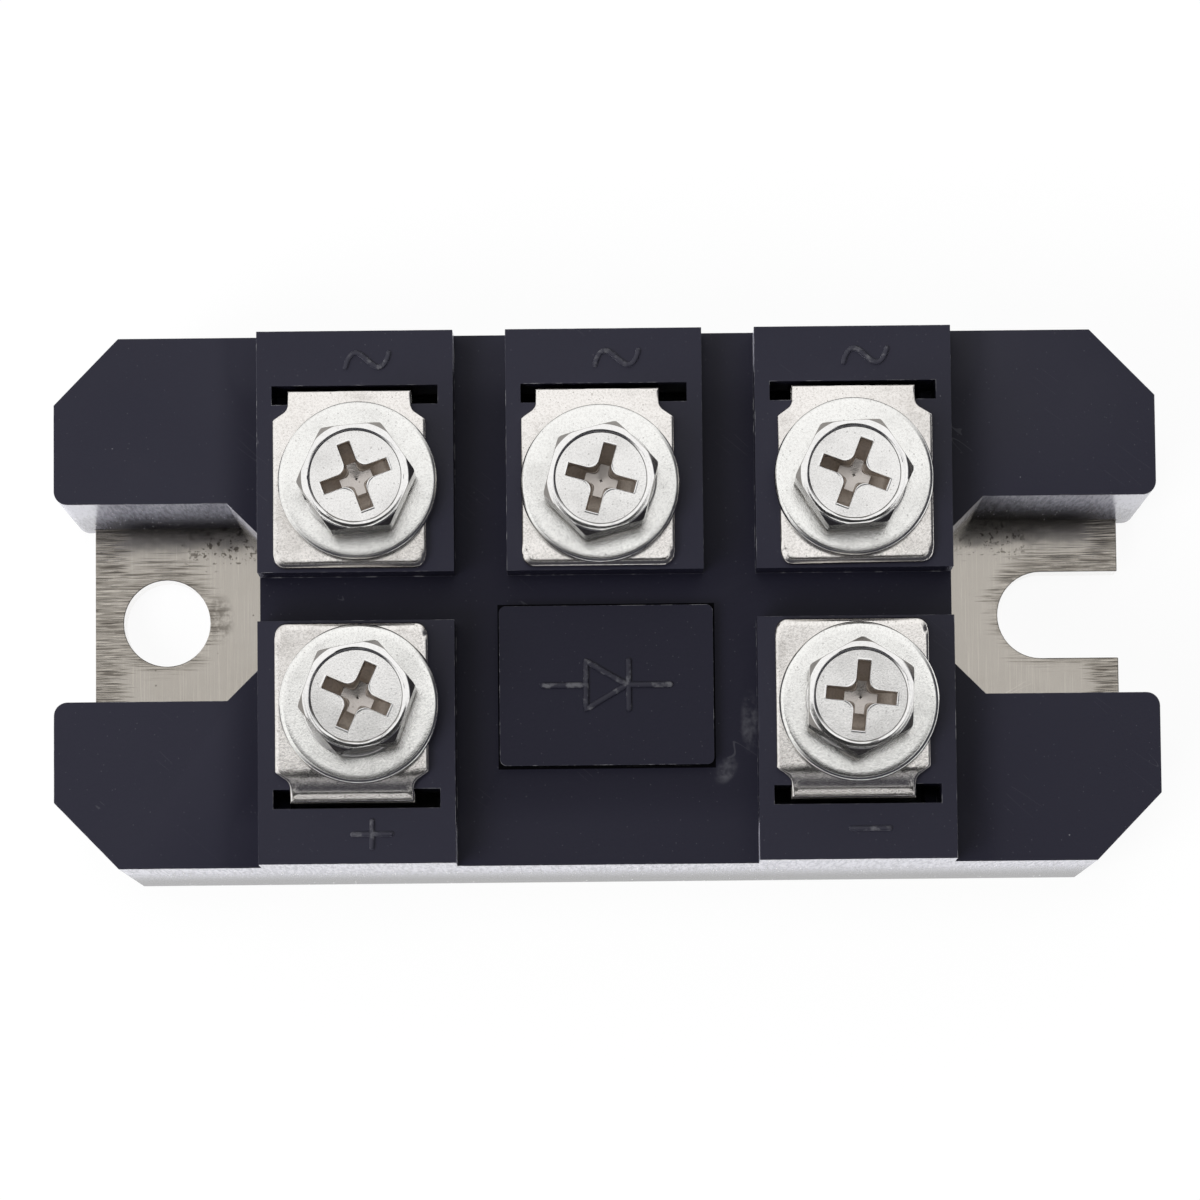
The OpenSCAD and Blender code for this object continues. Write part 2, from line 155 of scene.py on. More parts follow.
def makeLamp(name, place, size, power):
    data = bpy.data.lights.new(name, "AREA")
    data.shape = "DISK"
    data.size = size
    data.energy = power
    lamp = bpy.data.objects.new(name, data)
    lamp.location = place
    lamp.rotation_euler = (-lamp.location).to_track_quat("-Z", "Y").to_euler()
    lamp.visible_glossy = False
    scene.collection.objects.link(lamp)


def newNode(tree, kind, inputs, **settings):
    # a shader node; each input is linked to a socket or set to a value
    node = tree.nodes.new("ShaderNode" + kind)
    for name, value in settings.items():
        setattr(node, name, value)
    for key, value in inputs.items():
        if isinstance(value, bpy.types.NodeSocket):
            tree.links.new(value, node.inputs[key])
        else:
            node.inputs[key].default_value = value
    return node


def addNode(kind, inputs, **settings):
    # a shader node in the tree that the sockets among its inputs belong to
    sockets = [value for value in inputs.values() if isinstance(value, bpy.types.NodeSocket)]
    return newNode(sockets[0].id_data, kind, inputs, **settings)


def feed(node, name, value):
    # links a socket to a node's named input
    node.id_data.links.new(value, node.inputs[name])


def maths(operation, a, b=0.0, clamp=False):
    return addNode("Math", {0: a, 1: b}, operation=operation, use_clamp=clamp).outputs[0]


def product(value, *others):
    for other in others:
        value = maths("MULTIPLY", value, other)
    return value


def largest(value, *others):
    for other in others:
        value = maths("MAXIMUM", value, other)
    return value


def scaled(place, sides):
    # each part of a place by its own factor
    return addNode("VectorMath", {0: place, 1: sides}, operation="MULTIPLY").outputs[0]


def mixed(share, a, b):
    # colour a turning into colour b
    return addNode("Mix", {0: share, 6: a, 7: b}, data_type="RGBA").outputs[2]


def mixedFloat(share, a, b):
    return addNode("Mix", {0: share, 2: a, 3: b}, data_type="FLOAT").outputs[0]


def ranged(value, low, high, toLow=0.0, toHigh=1.0):
    # value taken from low..high to toLow..toHigh on a smooth step
    inputs = {"Value": value, "From Min": low, "From Max": high, "To Min": toLow, "To Max": toHigh}
    return addNode("MapRange", inputs, interpolation_type="SMOOTHSTEP").outputs[0]


def noise(place, scale, detail=2.0, roughness=0.5):
    inputs = {"Vector": place, "Scale": scale, "Detail": detail, "Roughness": roughness}
    return addNode("TexNoise", inputs).outputs[0]


def newGroup(name, inputs, outputs):
    # a shader node group; each input is name: (kind, start value)
    tree = bpy.data.node_groups.new(name, "ShaderNodeTree")
    for label, (kind, start) in inputs.items():
        socket = tree.interface.new_socket(label, in_out="INPUT", socket_type="NodeSocket" + kind)
        if start is not None:
            socket.default_value = start
    for label in outputs:
        tree.interface.new_socket(label, in_out="OUTPUT", socket_type="NodeSocketFloat")
    entry = tree.nodes.new("NodeGroupInput")
    leave = tree.nodes.new("NodeGroupOutput")
    return tree, entry.outputs, leave.inputs


def useGroup(group, inputs):
    return addNode("Group", inputs, node_tree=group).outputs[0]


def upwardShare(shader):
    # size of the upward part of the surface normal: 1 on level faces and 0 on upright ones
    normal = shader.id_data.nodes.new("ShaderNodeNewGeometry").outputs["Normal"]
    return maths("ABSOLUTE", addNode("SeparateXYZ", {0: normal}).outputs[2])


def specked(place, cells, size, share):
    return useGroup(specks, {"Place": place, "Cells": cells, "Size": size, "Share": share})


def streaked(place, along, across, turn=0.0, detail=3.0):
    return useGroup(streaks, {"Place": place, "Turn": (0, 0, turn), "Along": along,
                              "Across": across, "Detail": detail})


def scratched(place, turn, share):
    return useGroup(scratches, {"Place": place, "Turn": (0, 0, turn), "Thin": 0.003, "Share": share})


def emptyTree(owner, out):
    # an empty node tree with its output node, for a material or the world
    owner.use_nodes = True
    tree = owner.node_tree
    tree.nodes.clear()
    return tree, tree.nodes.new(out).inputs["Surface"]


def newMaterial(name):
    material = bpy.data.materials.new(name)
    tree, surface = emptyTree(material, "ShaderNodeOutputMaterial")
    shader = tree.nodes.new("ShaderNodeBsdfPrincipled")
    tree.links.new(shader.outputs[0], surface)
    place = tree.nodes.new("ShaderNodeTexCoord").outputs["Object"]
    return material, shader, place


def bumped(shader, height, depth):
    # depth is the height of the relief in metres
    feed(shader, "Normal", addNode("Bump", {"Height": height, "Distance": depth}).outputs[0])


def makeSpecks():
    # small round specks scattered one to a cell, of which only a share is shown
    tree, given, wanted = newGroup("scatteredSpecks", {
        "Place": ("Vector", None), "Cells": ("Float", 600.0),
        "Size": ("Float", 0.08), "Share": ("Float", 0.3)}, ["Mask"])
    cell = addNode("TexVoronoi", {"Vector": given["Place"], "Scale": given["Cells"]})
    parts = addNode("SeparateColor", {0: cell.outputs["Color"]}).outputs
    size = maths("MULTIPLY", given["Size"], maths("ADD", parts[1], 0.35))
    spot = maths("LESS_THAN", cell.outputs["Distance"], size)
    shown = maths("LESS_THAN", parts[0], given["Share"])
    tree.links.new(maths("MULTIPLY", spot, shown), wanted["Mask"])
    return tree


def stretchedNoise(given, detail, roughness=0.5):
    # noise that is turned and stretched along one direction
    turned = addNode("Mapping", {"Vector": given["Place"], "Rotation": given["Turn"]}).outputs[0]
    sides = addNode("CombineXYZ", {0: given["Along"], 1: given["Across"], 2: given["Along"]})
    return noise(scaled(turned, sides.outputs[0]), 1.0, detail, roughness)


def makeStreaks():
    # long thin streaks: stretched noise as it is
    tree, given, wanted = newGroup("stretchedStreaks", {
        "Place": ("Vector", None), "Turn": ("Vector", (0, 0, 0)),
        "Along": ("Float", 150.0), "Across": ("Float", 3000.0), "Detail": ("Float", 3.0)}, ["Value"])
    tree.links.new(stretchedNoise(given, given["Detail"], 0.6), wanted["Value"])
    return tree


def makeScratches():
    # hairline scratches: the middle band of stretched noise, kept only here and there
    tree, given, wanted = newGroup("hairScratches", {
        "Place": ("Vector", None), "Turn": ("Vector", (0, 0, 0)),
        "Along": ("Float", 60.0), "Across": ("Float", 900.0),
        "Thin": ("Float", 0.006), "Share": ("Float", 0.6)}, ["Mask"])
    line = maths("ABSOLUTE", maths("SUBTRACT", stretchedNoise(given, 0.0), 0.5))
    thin = maths("LESS_THAN", line, given["Thin"])
    kept = maths("GREATER_THAN", noise(given["Place"], 220.0, 1.0), given["Share"])
    tree.links.new(maths("MULTIPLY", thin, kept), wanted["Mask"])
    return tree


def makeOval():
    # 1 inside an oval that is turned about Z, falling to 0 at its edge
    tree, given, wanted = newGroup("ovalArea", {
        "Place": ("Vector", None), "Middle": ("Vector", (0, 0, 0)),
        "Half": ("Vector", (1, 1, 1)), "Turn": ("Vector", (0, 0, 0))}, ["Mask"])
    inputs = {"Vector": given["Place"], "Location": given["Middle"], "Rotation": given["Turn"]}
    local = addNode("Mapping", inputs, vector_type="TEXTURE").outputs[0]
    local = addNode("VectorMath", {0: local, 1: given["Half"]}, operation="DIVIDE").outputs[0]
    x, y = addNode("SeparateXYZ", {0: local}).outputs[:2]
    squares = maths("ADD", product(x, x), product(y, y))
    tree.links.new(ranged(squares, 0.1, 1.0, 1.0, 0.0), wanted["Mask"])
    return tree


specks = makeSpecks()
streaks = makeStreaks()
scratches = makeScratches()
ovals = makeOval()


plasticLook = {
    "colour": (0.0066, 0.0063, 0.0140, 1),
    "worn": (0.0115, 0.0110, 0.0200, 1),
    "raised": (0.0128, 0.0124, 0.0230, 1),    # painted light: tops of the blocks and ears, painted paler than the deck as if lit more while the deck lies in shade
    "line": (0.001, 0.001, 0.001, 1),         # painted shade: the dark line in the crease where the nameplate pad stands
    "dust": (0.26, 0.26, 0.28, 1),
    "veil": (0.62, 0.62, 0.72, 1),    # dust and painted sheen on the walls: a pale colour that shows only at a grazing angle
    # white dust flecks on the walls, painted as glints
    "fleck": (1.0, 1.0, 1.0, 1),
    "rubbed": (0.17, 0.17, 0.18, 1),
    "roughness": 0.55,
    "wallRoughness": 0.22,    # the walls that slide along the mould are smoother
    "specular": (0.26, 0.36),
    "grain": 3800.0,          # grains a metre
    "grainDepth": 0.012 * mm,
    # where the painted light of the raised and outer faces starts and is whole, and its share there
    "blocks": (blockTop - 1.5 * mm, blockTop - 0.3 * mm, 0.0, 1.0),    # height
    "pad": (deckTop + 0.5 * mm, deckTop + 0.9 * mm, 0.0, 0.28),        # height
    "ears": (25.5 * mm, 29 * mm, 0.0, 0.9),                            # |x|
    "fronts": (13.5 * mm, 17 * mm, 0.0, 0.5),                          # |y|
    "towardsCorner": 4.0,     # how much more painted light for each metre towards the back left corner, the side the light comes from
    "lineWidth": np.array([0.12, 0.19]) * mm,
    "lineTop": 0.3 * mm,      # how far below the pad's top the painted shade line ends
    # the dust and painted sheen: how far the face turns away from the view, where it lies and how it
    # grows upwards, so that the foot of the walls stays dark as painted shade
    "veilFacing": (0.72, 0.88),
    "veilSides": (24.5 * mm, 25.5 * mm),       # |x|, so that the slots and channels stay dark
    "veilFronts": (16.0 * mm, 17.0 * mm),      # |y|
    "veilUp": (4.0 * mm, 17.0 * mm, 0.0, 0.9),         # height
    "veilTips": (34.5 * mm, 40.0 * mm, 0.0, 0.55),     # |x|
    "veilStretch": (1.0, 1.0, 0.10),           # its specks run down the wall
    # middle, half size and turn of the scuffs on the deck
    "scuffs": (((10.35 * mm, -9.1 * mm, 0), (0.75 * mm, 2.6 * mm, 1), (0, 0, 0)),
               ((8.6 * mm, -12.6 * mm, 0), (0.8 * mm, 1.3 * mm, 1), (0, 0, -0.6))),
}


def plasticFinish(name, look, edge=0.0):
    # matt moulding compound; edge adds the rubbed look of the corners
    material, shader, place = newMaterial(name)
    x, y, z = addNode("SeparateXYZ", {0: place}).outputs
    sideways, frontways = maths("ABSOLUTE", x), maths("ABSOLUTE", y)
    cloud = noise(place, 55.0, 4.0, 0.6)
    patchy = noise(place, 900.0, 3.0, 0.65)
    grain = noise(place, look["grain"], 3.0, 0.6)
    base = mixed(ranged(cloud, 0.35, 0.75, 0.0, 0.45), look["colour"], look["worn"])
    # painted light: raised and outer faces are paler, as if lit more than the shaded deck and
    # channels, and the whole a little more so towards the back left corner where the light comes
    # from
    paintedLight = largest(ranged(z, *look["blocks"]), ranged(z, *look["pad"]),
                   ranged(sideways, *look["ears"]), ranged(frontways, *look["fronts"]))
    corner = product(maths("SUBTRACT", y, x), look["towardsCorner"])
    paintedLight = product(paintedLight, maths("ADD", corner, 1.0))
    base = mixed(paintedLight, base, look["raised"])
    # fine and coarse dust, hairline scratches and scuffs
    dust = largest(product(specked(place, 2300.0, 0.085, 0.85), 0.10),
                   product(specked(place, 300.0, 0.017, 0.35), 0.5),
                   product(scratched(place, 0.7, 0.66), 0.08))
    for middle, half, turn in look["scuffs"]:
        oval = useGroup(ovals, {"Place": place, "Middle": middle, "Half": half, "Turn": turn})
        dust = largest(dust, product(oval, ranged(patchy, 0.35, 0.7), 0.16))
    colour = mixed(dust, base, look["dust"])
    if edge:
        colour = mixed(ranged(patchy, 0.50, 0.66, 0.06, edge), colour, look["rubbed"])
    # painted shade: a dark line in the crease where the nameplate pad stands on the deck, which also
    # takes away most of the specular there
    reach = padHalf + look["lineWidth"]
    inX = maths("LESS_THAN", sideways, float(reach[0]))
    fromPad = maths("ABSOLUTE", maths("SUBTRACT", y, float(padMiddle[1])))
    inY = maths("LESS_THAN", fromPad, float(reach[1]))
    line = product(inX, inY, maths("LESS_THAN", z, padTop - look["lineTop"]), 0.9)
    colour = mixed(line, colour, look["line"])
    # dust and painted sheen on the walls, shown only at a grazing angle: paler at their upper edges
    # and towards the open ends of the recesses, and darker at their foot as painted shade
    upright = ranged(upwardShare(shader), 0.15, 0.6, 1.0, 0.0)
    facing = shader.id_data.nodes.new("ShaderNodeLayerWeight").outputs["Facing"]
    outer = largest(ranged(sideways, *look["veilSides"]),
                    ranged(frontways, *look["veilFronts"]))
    grazing = product(ranged(facing, *look["veilFacing"]), outer, upright)
    thick = maths("ADD", ranged(z, *look["veilUp"]),
                  ranged(sideways, *look["veilTips"]))
    tall = scaled(place, look["veilStretch"])
    drifted = ranged(noise(tall, 4200.0, 4.0, 0.75), 0.35, 0.65, 0.6, 1.1)
    veil = maths("MULTIPLY", product(thick, grazing), drifted, True)
    colour = mixed(veil, colour, look["veil"])
    # dust flecks painted white as glints, shown only at a grazing angle
    glintingFlecks = product(specked(tall, 5200.0, 0.15, 0.35), grazing)
    colour = mixed(glintingFlecks, colour, look["fleck"])
    feed(shader, "Base Color", colour)
    # the painted light also raises the specular level of the raised and outer faces
    level = ranged(paintedLight, 0.0, 1.0, *look["specular"])
    level = product(level, maths("SUBTRACT", 1.0, line))
    feed(shader, "Specular IOR Level", level)
    rough = ranged(cloud, 0.3, 0.7, look["roughness"] - 0.04, look["roughness"] + 0.06)
    rough = mixedFloat(upright, rough, look["wallRoughness"])
    rough = maths("ADD", rough, product(dust, 0.3), True)
    feed(shader, "Roughness", rough)
    relief = maths("ADD", product(grain, 0.8), product(dust, 1.2))
    bumped(shader, relief, look["grainDepth"])
    return material


def nickelFinish(name, colour, dark, roughness, grainShare=0.22, stain=0.3, pitShare=0.12,
                 depth=0.008 * mm, turn=0.0, frost=5200.0, drawn=0.4):
    # plated metal: grainy frosting, small dark pits, slow stains and a faint draw direction
    material, shader, place = newMaterial(name)
    shader.inputs["Metallic"].default_value = 1.0
    cloud = noise(place, 190.0, 4.0, 0.62)
    grain = noise(place, frost, 3.0, 0.7)
    lines = streaked(place, 300.0, 5000.0, turn)
    pit = specked(place, 3600.0, 0.17, pitShare)
    spot = specked(place, 700.0, 0.045, 0.25)
    dull = maths("ADD", product(ranged(cloud, 0.42, 0.78), stain),
                 product(ranged(grain, 0.42, 0.68), grainShare))
    dull = largest(dull, product(pit, 0.45), product(spot, 0.5))
    feed(shader, "Base Color", mixed(dull, colour, dark))
    rough = ranged(cloud, 0.3, 0.7, roughness - 0.04, roughness + 0.06)
    rough = maths("ADD", rough, product(lines, 0.05), True)
    feed(shader, "Roughness", rough)
    relief = maths("SUBTRACT", product(grain, 0.8), pit)
    relief = maths("ADD", relief, product(lines, drawn))
    bumped(shader, relief, depth)
    return material


plateLook = {
    "colour": (0.45, 0.42, 0.378, 1),
    "sanded": (0.37, 0.335, 0.29, 1),
    "scored": (0.085, 0.070, 0.056, 1),
    "bright": (0.76, 0.71, 0.64, 1),
    "cut": (0.95, 0.94, 0.93, 1),
    "roughness": 0.13,
    "ends": (35.9 * mm, 37.1 * mm),            # |x| over which the sanding of the ends sets in
    "ring": (3.3 * mm, 4.7 * mm, 0.9, 0.0),    # the same round the hole and the slot
    "ringShift": (0.35 * mm, 0.55 * mm),       # how far out and up that ring lies off their middles
    "ragged": 5.0 * mm,                        # how far single strokes run past those borders
    # middle, half size and turn of a dark rubbed spot beside the round hole
    "rubbed": {"Middle": (-29.1 * mm, 0.3 * mm, 0), "Half": (1.25 * mm, 2.1 * mm, 1),
               "Turn": (0, 0, 0)},
    "crowdUp": (4.2 * mm, 5.0 * mm),           # y over which the crowded specks set in
    "crowdInward": (32.5 * mm, 30.5 * mm),     # |x| of the same
    "reliefDepth": 0.007 * mm,
}


def plateFinish(look):
    # nickel-plated plate: smooth in the middle, sanded along X round the holes and at the ends
    material, shader, place = newMaterial("platedSteelPlate")
    shader.inputs["Metallic"].default_value = 1.0
    x, y, z = addNode("SeparateXYZ", {0: place}).outputs
    side = maths("ABSOLUTE", x)
    cloud = noise(place, 180.0, 4.0, 0.6)
    stroke = streaked(place, 60.0, 5500.0)
    ragged = product(maths("SUBTRACT", stroke, 0.5), look["ragged"])
    ends = ranged(maths("ADD", side, ragged), *look["ends"])
    # distance from the middle of the hole on the left, and from the slot's middle line on the right
    fromHole = maths("ADD", x, -float(holePlace[0]))
    fromSlot = maths("MINIMUM", maths("SUBTRACT", x, float(slotPlace[0])), 0.0)
    along = mixedFloat(maths("GREATER_THAN", x, 0.0), fromHole, fromSlot)
    out, up = look["ringShift"]
    along = maths("ADD", along, product(maths("SIGN", x), -out))
    across = maths("SUBTRACT", y, up)
    squares = maths("ADD", product(along, along), product(across, across))
    distance = maths("ADD", maths("SQRT", squares), ragged)
    underneath = product(maths("LESS_THAN", z, 1.5 * mm), 0.5)
    sanded = largest(ends, ranged(distance, *look["ring"]), underneath)
    lines = streaked(place, 420.0, 8200.0, detail=0.0)
    hairs = streaked(place, 600.0, 13000.0, detail=0.0)
    brushed = streaked(place, 200.0, 13000.0, math.pi / 2)
    # a dark rubbed spot, dark specks crowded at the foot of the upper ears, single spots and
    # hairline scratches
    mottled = ranged(noise(place, 1400.0, 3.0, 0.65), 0.35, 0.65)
    rubbed = useGroup(ovals, {"Place": place, **look["rubbed"]})
    crowd = ranged(noise(place, 2600.0, 3.0, 0.7), 0.56, 0.60)
    nearEar = ranged(maths("ADD", y, ragged), *look["crowdUp"])
    inward = ranged(side, *look["crowdInward"])
    # share of each tone over the last, from the ground up
    colour = look["colour"]
    for share, tone in (
            (product(ranged(cloud, 0.4, 0.8), 0.3), "sanded"),
            (product(ranged(brushed, 0.5, 0.7), 0.16), "bright"),
            (product(sanded, 0.45), "sanded"),
            (product(sanded, ranged(lines, 0.42, 0.34), 0.45), "bright"),
            (product(sanded, ranged(hairs, 0.52, 0.64), 0.35), "scored"),
            (product(sanded, ranged(lines, 0.62, 0.68), 0.62), "scored"),
            (product(rubbed, mottled, 0.6), "scored"),
            (product(crowd, nearEar, inward, ranged(cloud, 0.30, 0.42), 0.85), "scored"),
            (product(specked(place, 1500.0, 0.09, 0.10), 0.5), "scored"),
            (product(scratched(place, -0.45, 0.6), 0.35), "bright"),
            # the cut walls of the hole and the slot are bright
            (ranged(upwardShare(shader), 0.2, 0.7, 1.0, 0.0), "cut")):
        colour = mixed(share, colour, look[tone])
    feed(shader, "Base Color", colour)
    rough = maths("ADD", look["roughness"], product(sanded, 0.09), True)
    feed(shader, "Roughness", rough)
    relief = product(maths("SUBTRACT", hairs, lines), sanded)
    relief = maths("ADD", relief, product(brushed, 0.12))
    relief = maths("ADD", relief, product(noise(place, 420.0, 2.0), 3.0))
    bumped(shader, relief, look["reliefDepth"])
    return material


def innerFinish(name, colour, other, roughness, metallic=0.0, scale=400.0):
    # finish of the parts inside: two tones, fine grain and small pits
    material, shader, place = newMaterial(name)
    shader.inputs["Metallic"].default_value = metallic
    cloud = noise(place, scale, 4.0, 0.6)
    grain = noise(place, 6000.0, 2.0)
    pit = specked(place, 1200.0, 0.2, 0.15)
    share = largest(ranged(cloud, 0.4, 0.75), product(pit, 0.8))
    feed(shader, "Base Color", mixed(share, colour, other))
    rough = ranged(cloud, 0.3, 0.7, roughness - 0.06, roughness + 0.08)
    feed(shader, "Roughness", rough)
    bumped(shader, maths("SUBTRACT", grain, pit), 0.01 * mm)
    return material


housingPlastic = plasticFinish("mouldedHousing", plasticLook)
housingEdge = plasticFinish("mouldedHousingEdge", plasticLook, 0.8)
markPlastic = plasticFinish("rubbedMarkPlastic", plasticLook, 0.45)
platePlating = plateFinish(plateLook)
brown, grey = (0.26, 0.225, 0.19, 1), (0.36, 0.345, 0.33, 1)
tabNickel = nickelFinish("frostedTerminalNickel", (0.93, 0.90, 0.87, 1), brown, 0.17,
                         grainShare=0.26, pitShare=0.25, depth=0.010 * mm, turn=math.pi / 2,
                         frost=6500.0)
washerNickel = nickelFinish("pittedWasherNickel", (0.955, 0.95, 0.925, 1), grey, 0.16, stain=0.10,
                            pitShare=0.35, depth=0.006 * mm, frost=7000.0, drawn=0.0)
springNickel = nickelFinish("springWasherNickel", (0.86, 0.85, 0.83, 1), grey, 0.26)
rimNickel = nickelFinish("polishedScrewNickel", (0.93, 0.92, 0.91, 1), grey, 0.10, grainShare=0.12,
                         stain=0.1, pitShare=0.04, depth=0.003 * mm)
# painted shade: the flanks of the hexagon take a dark copy of the nickel, standing in for the shade
# and dark reflections on them
shadedFlankNickel = nickelFinish("greyFlankNickel", (0.34, 0.325, 0.31, 1), brown, 0.14, grainShare=0.2)
# painted shade: the narrow groove round the dish takes a dark copy of the nickel
grooveShadeNickel = nickelFinish("darkGrooveNickel", (0.32, 0.31, 0.29, 1), brown, 0.35,
                            grainShare=0.2, stain=0.2)
dishNickel = nickelFinish("pittedDishNickel", (0.90, 0.89, 0.875, 1), grey, 0.16, grainShare=0.20,
                          stain=0.22, pitShare=0.4, depth=0.006 * mm, frost=7000.0, drawn=0.0)
crossNickel = nickelFinish("crossRecessNickel", (0.68, 0.61, 0.545, 1), brown, 0.5,
                           grainShare=0.3, stain=0.4)
starNickel = nickelFinish("crossFloorNickel", (0.56, 0.52, 0.49, 1), brown, 0.22,
                          grainShare=0.1, pitShare=0.05)
# painted highlight: the burr round the recess takes a near-white copy of the nickel, brighter than
# the rim, so it shows as a bright line
highlightLipNickel = nickelFinish("burnishedEdgeNickel", (0.98, 0.975, 0.97, 1), grey, 0.2, grainShare=0.0,
                         stain=0.05, pitShare=0.02, depth=0.001 * mm)
nutNickel = nickelFinish("nutNickel", (0.70, 0.69, 0.66, 1), grey, 0.28)
print("finishes made")


def newPiece(name, mesh, finishes, smoothAngle):
    # a smooth-shaded piece of a mesh, on the one body there is
    for finish in finishes:
        mesh.materials.append(finish)
    mesh.shade_smooth()
    mesh.set_sharp_from_angle(angle=math.radians(smoothAngle))
    mesh.update()
    piece = bpy.data.objects.new(name, mesh)
    scene.collection.objects.link(piece)
    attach(piece, "root")
    return piece


def meshObject(name, points, faces, finishes, faceFinish=None, smoothAngle=35.0):
    # a new piece from points and faces; faceFinish has the number of each face's finish
    mesh = bpy.data.meshes.new(name)
    mesh.from_pydata(np.asarray(points).tolist(), [], faces)
    piece = newPiece(name, mesh, finishes, smoothAngle)
    if faceFinish is not None:
        mesh.polygons.foreach_set("material_index", np.asarray(faceFinish, np.int32))
    return piece


def wholeFaces(node):
    # a CAD node's mesh whose loose triangles are joined and whose flat faces are whole again
    work = bmesh.new()
    work.from_mesh(frame["nodes"][node].data)
    bmesh.ops.remove_doubles(work, verts=work.verts, dist=0.002 * mm)
    bmesh.ops.dissolve_limit(work, angle_limit=math.radians(0.4), verts=work.verts, edges=work.edges)
    return work


def mergedCopy(node, name, finishes):
    # a piece from a CAD node's mesh, in the node's place
    work = wholeFaces(node)
    mesh = bpy.data.meshes.new(name)
    work.to_mesh(mesh)
    work.free()
    piece = newPiece(name, mesh, finishes, 35.0)
    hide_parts(node)
    return piece


def roundEdges(piece, width, segments=3, angle=30.0, finish=-1):
    bevel = piece.modifiers.new("roundEdges", "BEVEL")
    bevel.width = width
    bevel.segments = segments
    bevel.limit_method = "ANGLE"
    bevel.angle_limit = math.radians(angle)
    bevel.use_clamp_overlap = True
    bevel.harden_normals = True
    bevel.material = finish


def ringFaces(rings, count, start=0, closed=False):
    # quads between rings of count points each, numbered outwards from start; closed joins the
    # last ring to the first
    ring = np.arange(rings if closed else rings - 1)[:, None]
    here, after = np.arange(count)[None, :], (np.arange(count)[None, :] + 1) % count
    inner, outer = ring * count + start, (ring + 1) % rings * count + start
    return np.stack([inner + here, inner + after, outer + after, outer + here], -1).reshape(-1, 4)


housing = mergedCopy("housing", "housing_shell", [housingPlastic, housingEdge])
roundEdges(housing, 0.12 * mm, 3, 30.0, 1)
print("housing made")


plate = mergedCopy("base_plate", "plated_base", [platePlating])
roundEdges(plate, 0.08 * mm, 2)


tabLook = {
    "end": (0.55 * mm, 0.42 * mm),      # width and fall of the rolled edge: free end, sides, neck
    "side": (0.30 * mm, 0.20 * mm),
    "neck": (0.18 * mm, 0.12 * mm),
    "hole": 3.2 * mm,
    "thick": 0.8 * mm,
    "depth": 1.8 * mm,                  # how far down the rolled bend reaches
    # fall of the top by the distance from the outer face of the bend, in mm: it dips, runs level
    # for a short way and turns down
    "roll": ((0.0, 1.8), (0.02, 0.62), (0.05, 0.48), (0.1, 0.435), (0.2, 0.42), (0.62, 0.415),
             (0.7, 0.41), (0.8, 0.385), (1.3, 0.195), (1.8, 0.055), (2.0, 0.02), (2.3, 0.0)),
    # distances from the edge at which the rings lie, close together where the top falls off
    "rings": (0, 0.02, 0.05, 0.1, 0.15, 0.2, 0.3, 0.42, 0.54, 0.62, 0.7, 0.8, 0.95, 1.15, 1.35, 1.6,
              1.85, 2.1, 2.4),
    "chamfer": (4.70 * mm, 5.50 * mm),  # where the tab starts to narrow and where the neck begins
    "wideTo": 4.3 * mm,
    "bored": 4.6 * mm,                  # nearer corners belong to the hole
    "fillet": 0.28 * mm,
    "rays": 180,
    "sag": 0.02 * mm,                   # slow waviness of the rolled sheet
}


def tabOutline(node, seat, look):
    # corners of a tab in order round its screw, the direction it runs out in and how far it runs
    points = nodePoints(node)
    level = points[np.abs(points[:, 2] - seat[2]) < 0.02 * mm][:, :2] - seat[:2]
    level = level[np.hypot(level[:, 0], level[:, 1]) > look["bored"]]
    level = np.unique(np.round(level / mm, 3), axis=0) * mm
    outward = 1 if seat[1] > 0 else -1
    out = np.array([0.0, outward])
    reach = ((points[:, :2] - seat[:2]) @ out).max()
    along = level @ out
    neck = level[along > 5.95 * mm]
    corners = [level[along < 4.0 * mm]]
    for sign, side in ((-1, level[:, 0].min()), (1, level[:, 0].max())):
        edge = (neck[:, 0] * sign).max() * sign
        wide = np.array([side, look["chamfer"][0] * outward])
        foot = np.array([edge, look["chamfer"][1] * outward])
        toWide = (wide - foot) / np.linalg.norm(wide - foot)
        a, b = foot + toWide * look["fillet"], foot + out * look["fillet"]
        corners.append([wide, a, (a + b + foot) / 3, b, foot + out * (reach - look["chamfer"][1])])
    corners = np.concatenate(corners)
    return corners[np.argsort(np.arctan2(corners[:, 1], corners[:, 0]))], out, reach


def rayLengths(turn, corners):
    # distance from the middle to a closed outline along each ray: the ray is cut with every side
    a, b = corners, np.roll(corners, -1, 0)
    side = b - a
    ray = np.stack([np.cos(turn), np.sin(turn)], 1)
    cross = ray[:, None, 0] * side[None, :, 1] - ray[:, None, 1] * side[None, :, 0]
    cross = np.where(np.abs(cross) < 1e-12, 1e-12, cross)
    far = (a[None, :, 0] * side[None, :, 1] - a[None, :, 1] * side[None, :, 0]) / cross
    part = (a[None, :, 0] * ray[:, None, 1] - a[None, :, 1] * ray[:, None, 0]) / cross
    hit = (part > -1e-6) & (part < 1 + 1e-6) & (far > 0)
    return np.where(hit, far, 0).max(1)


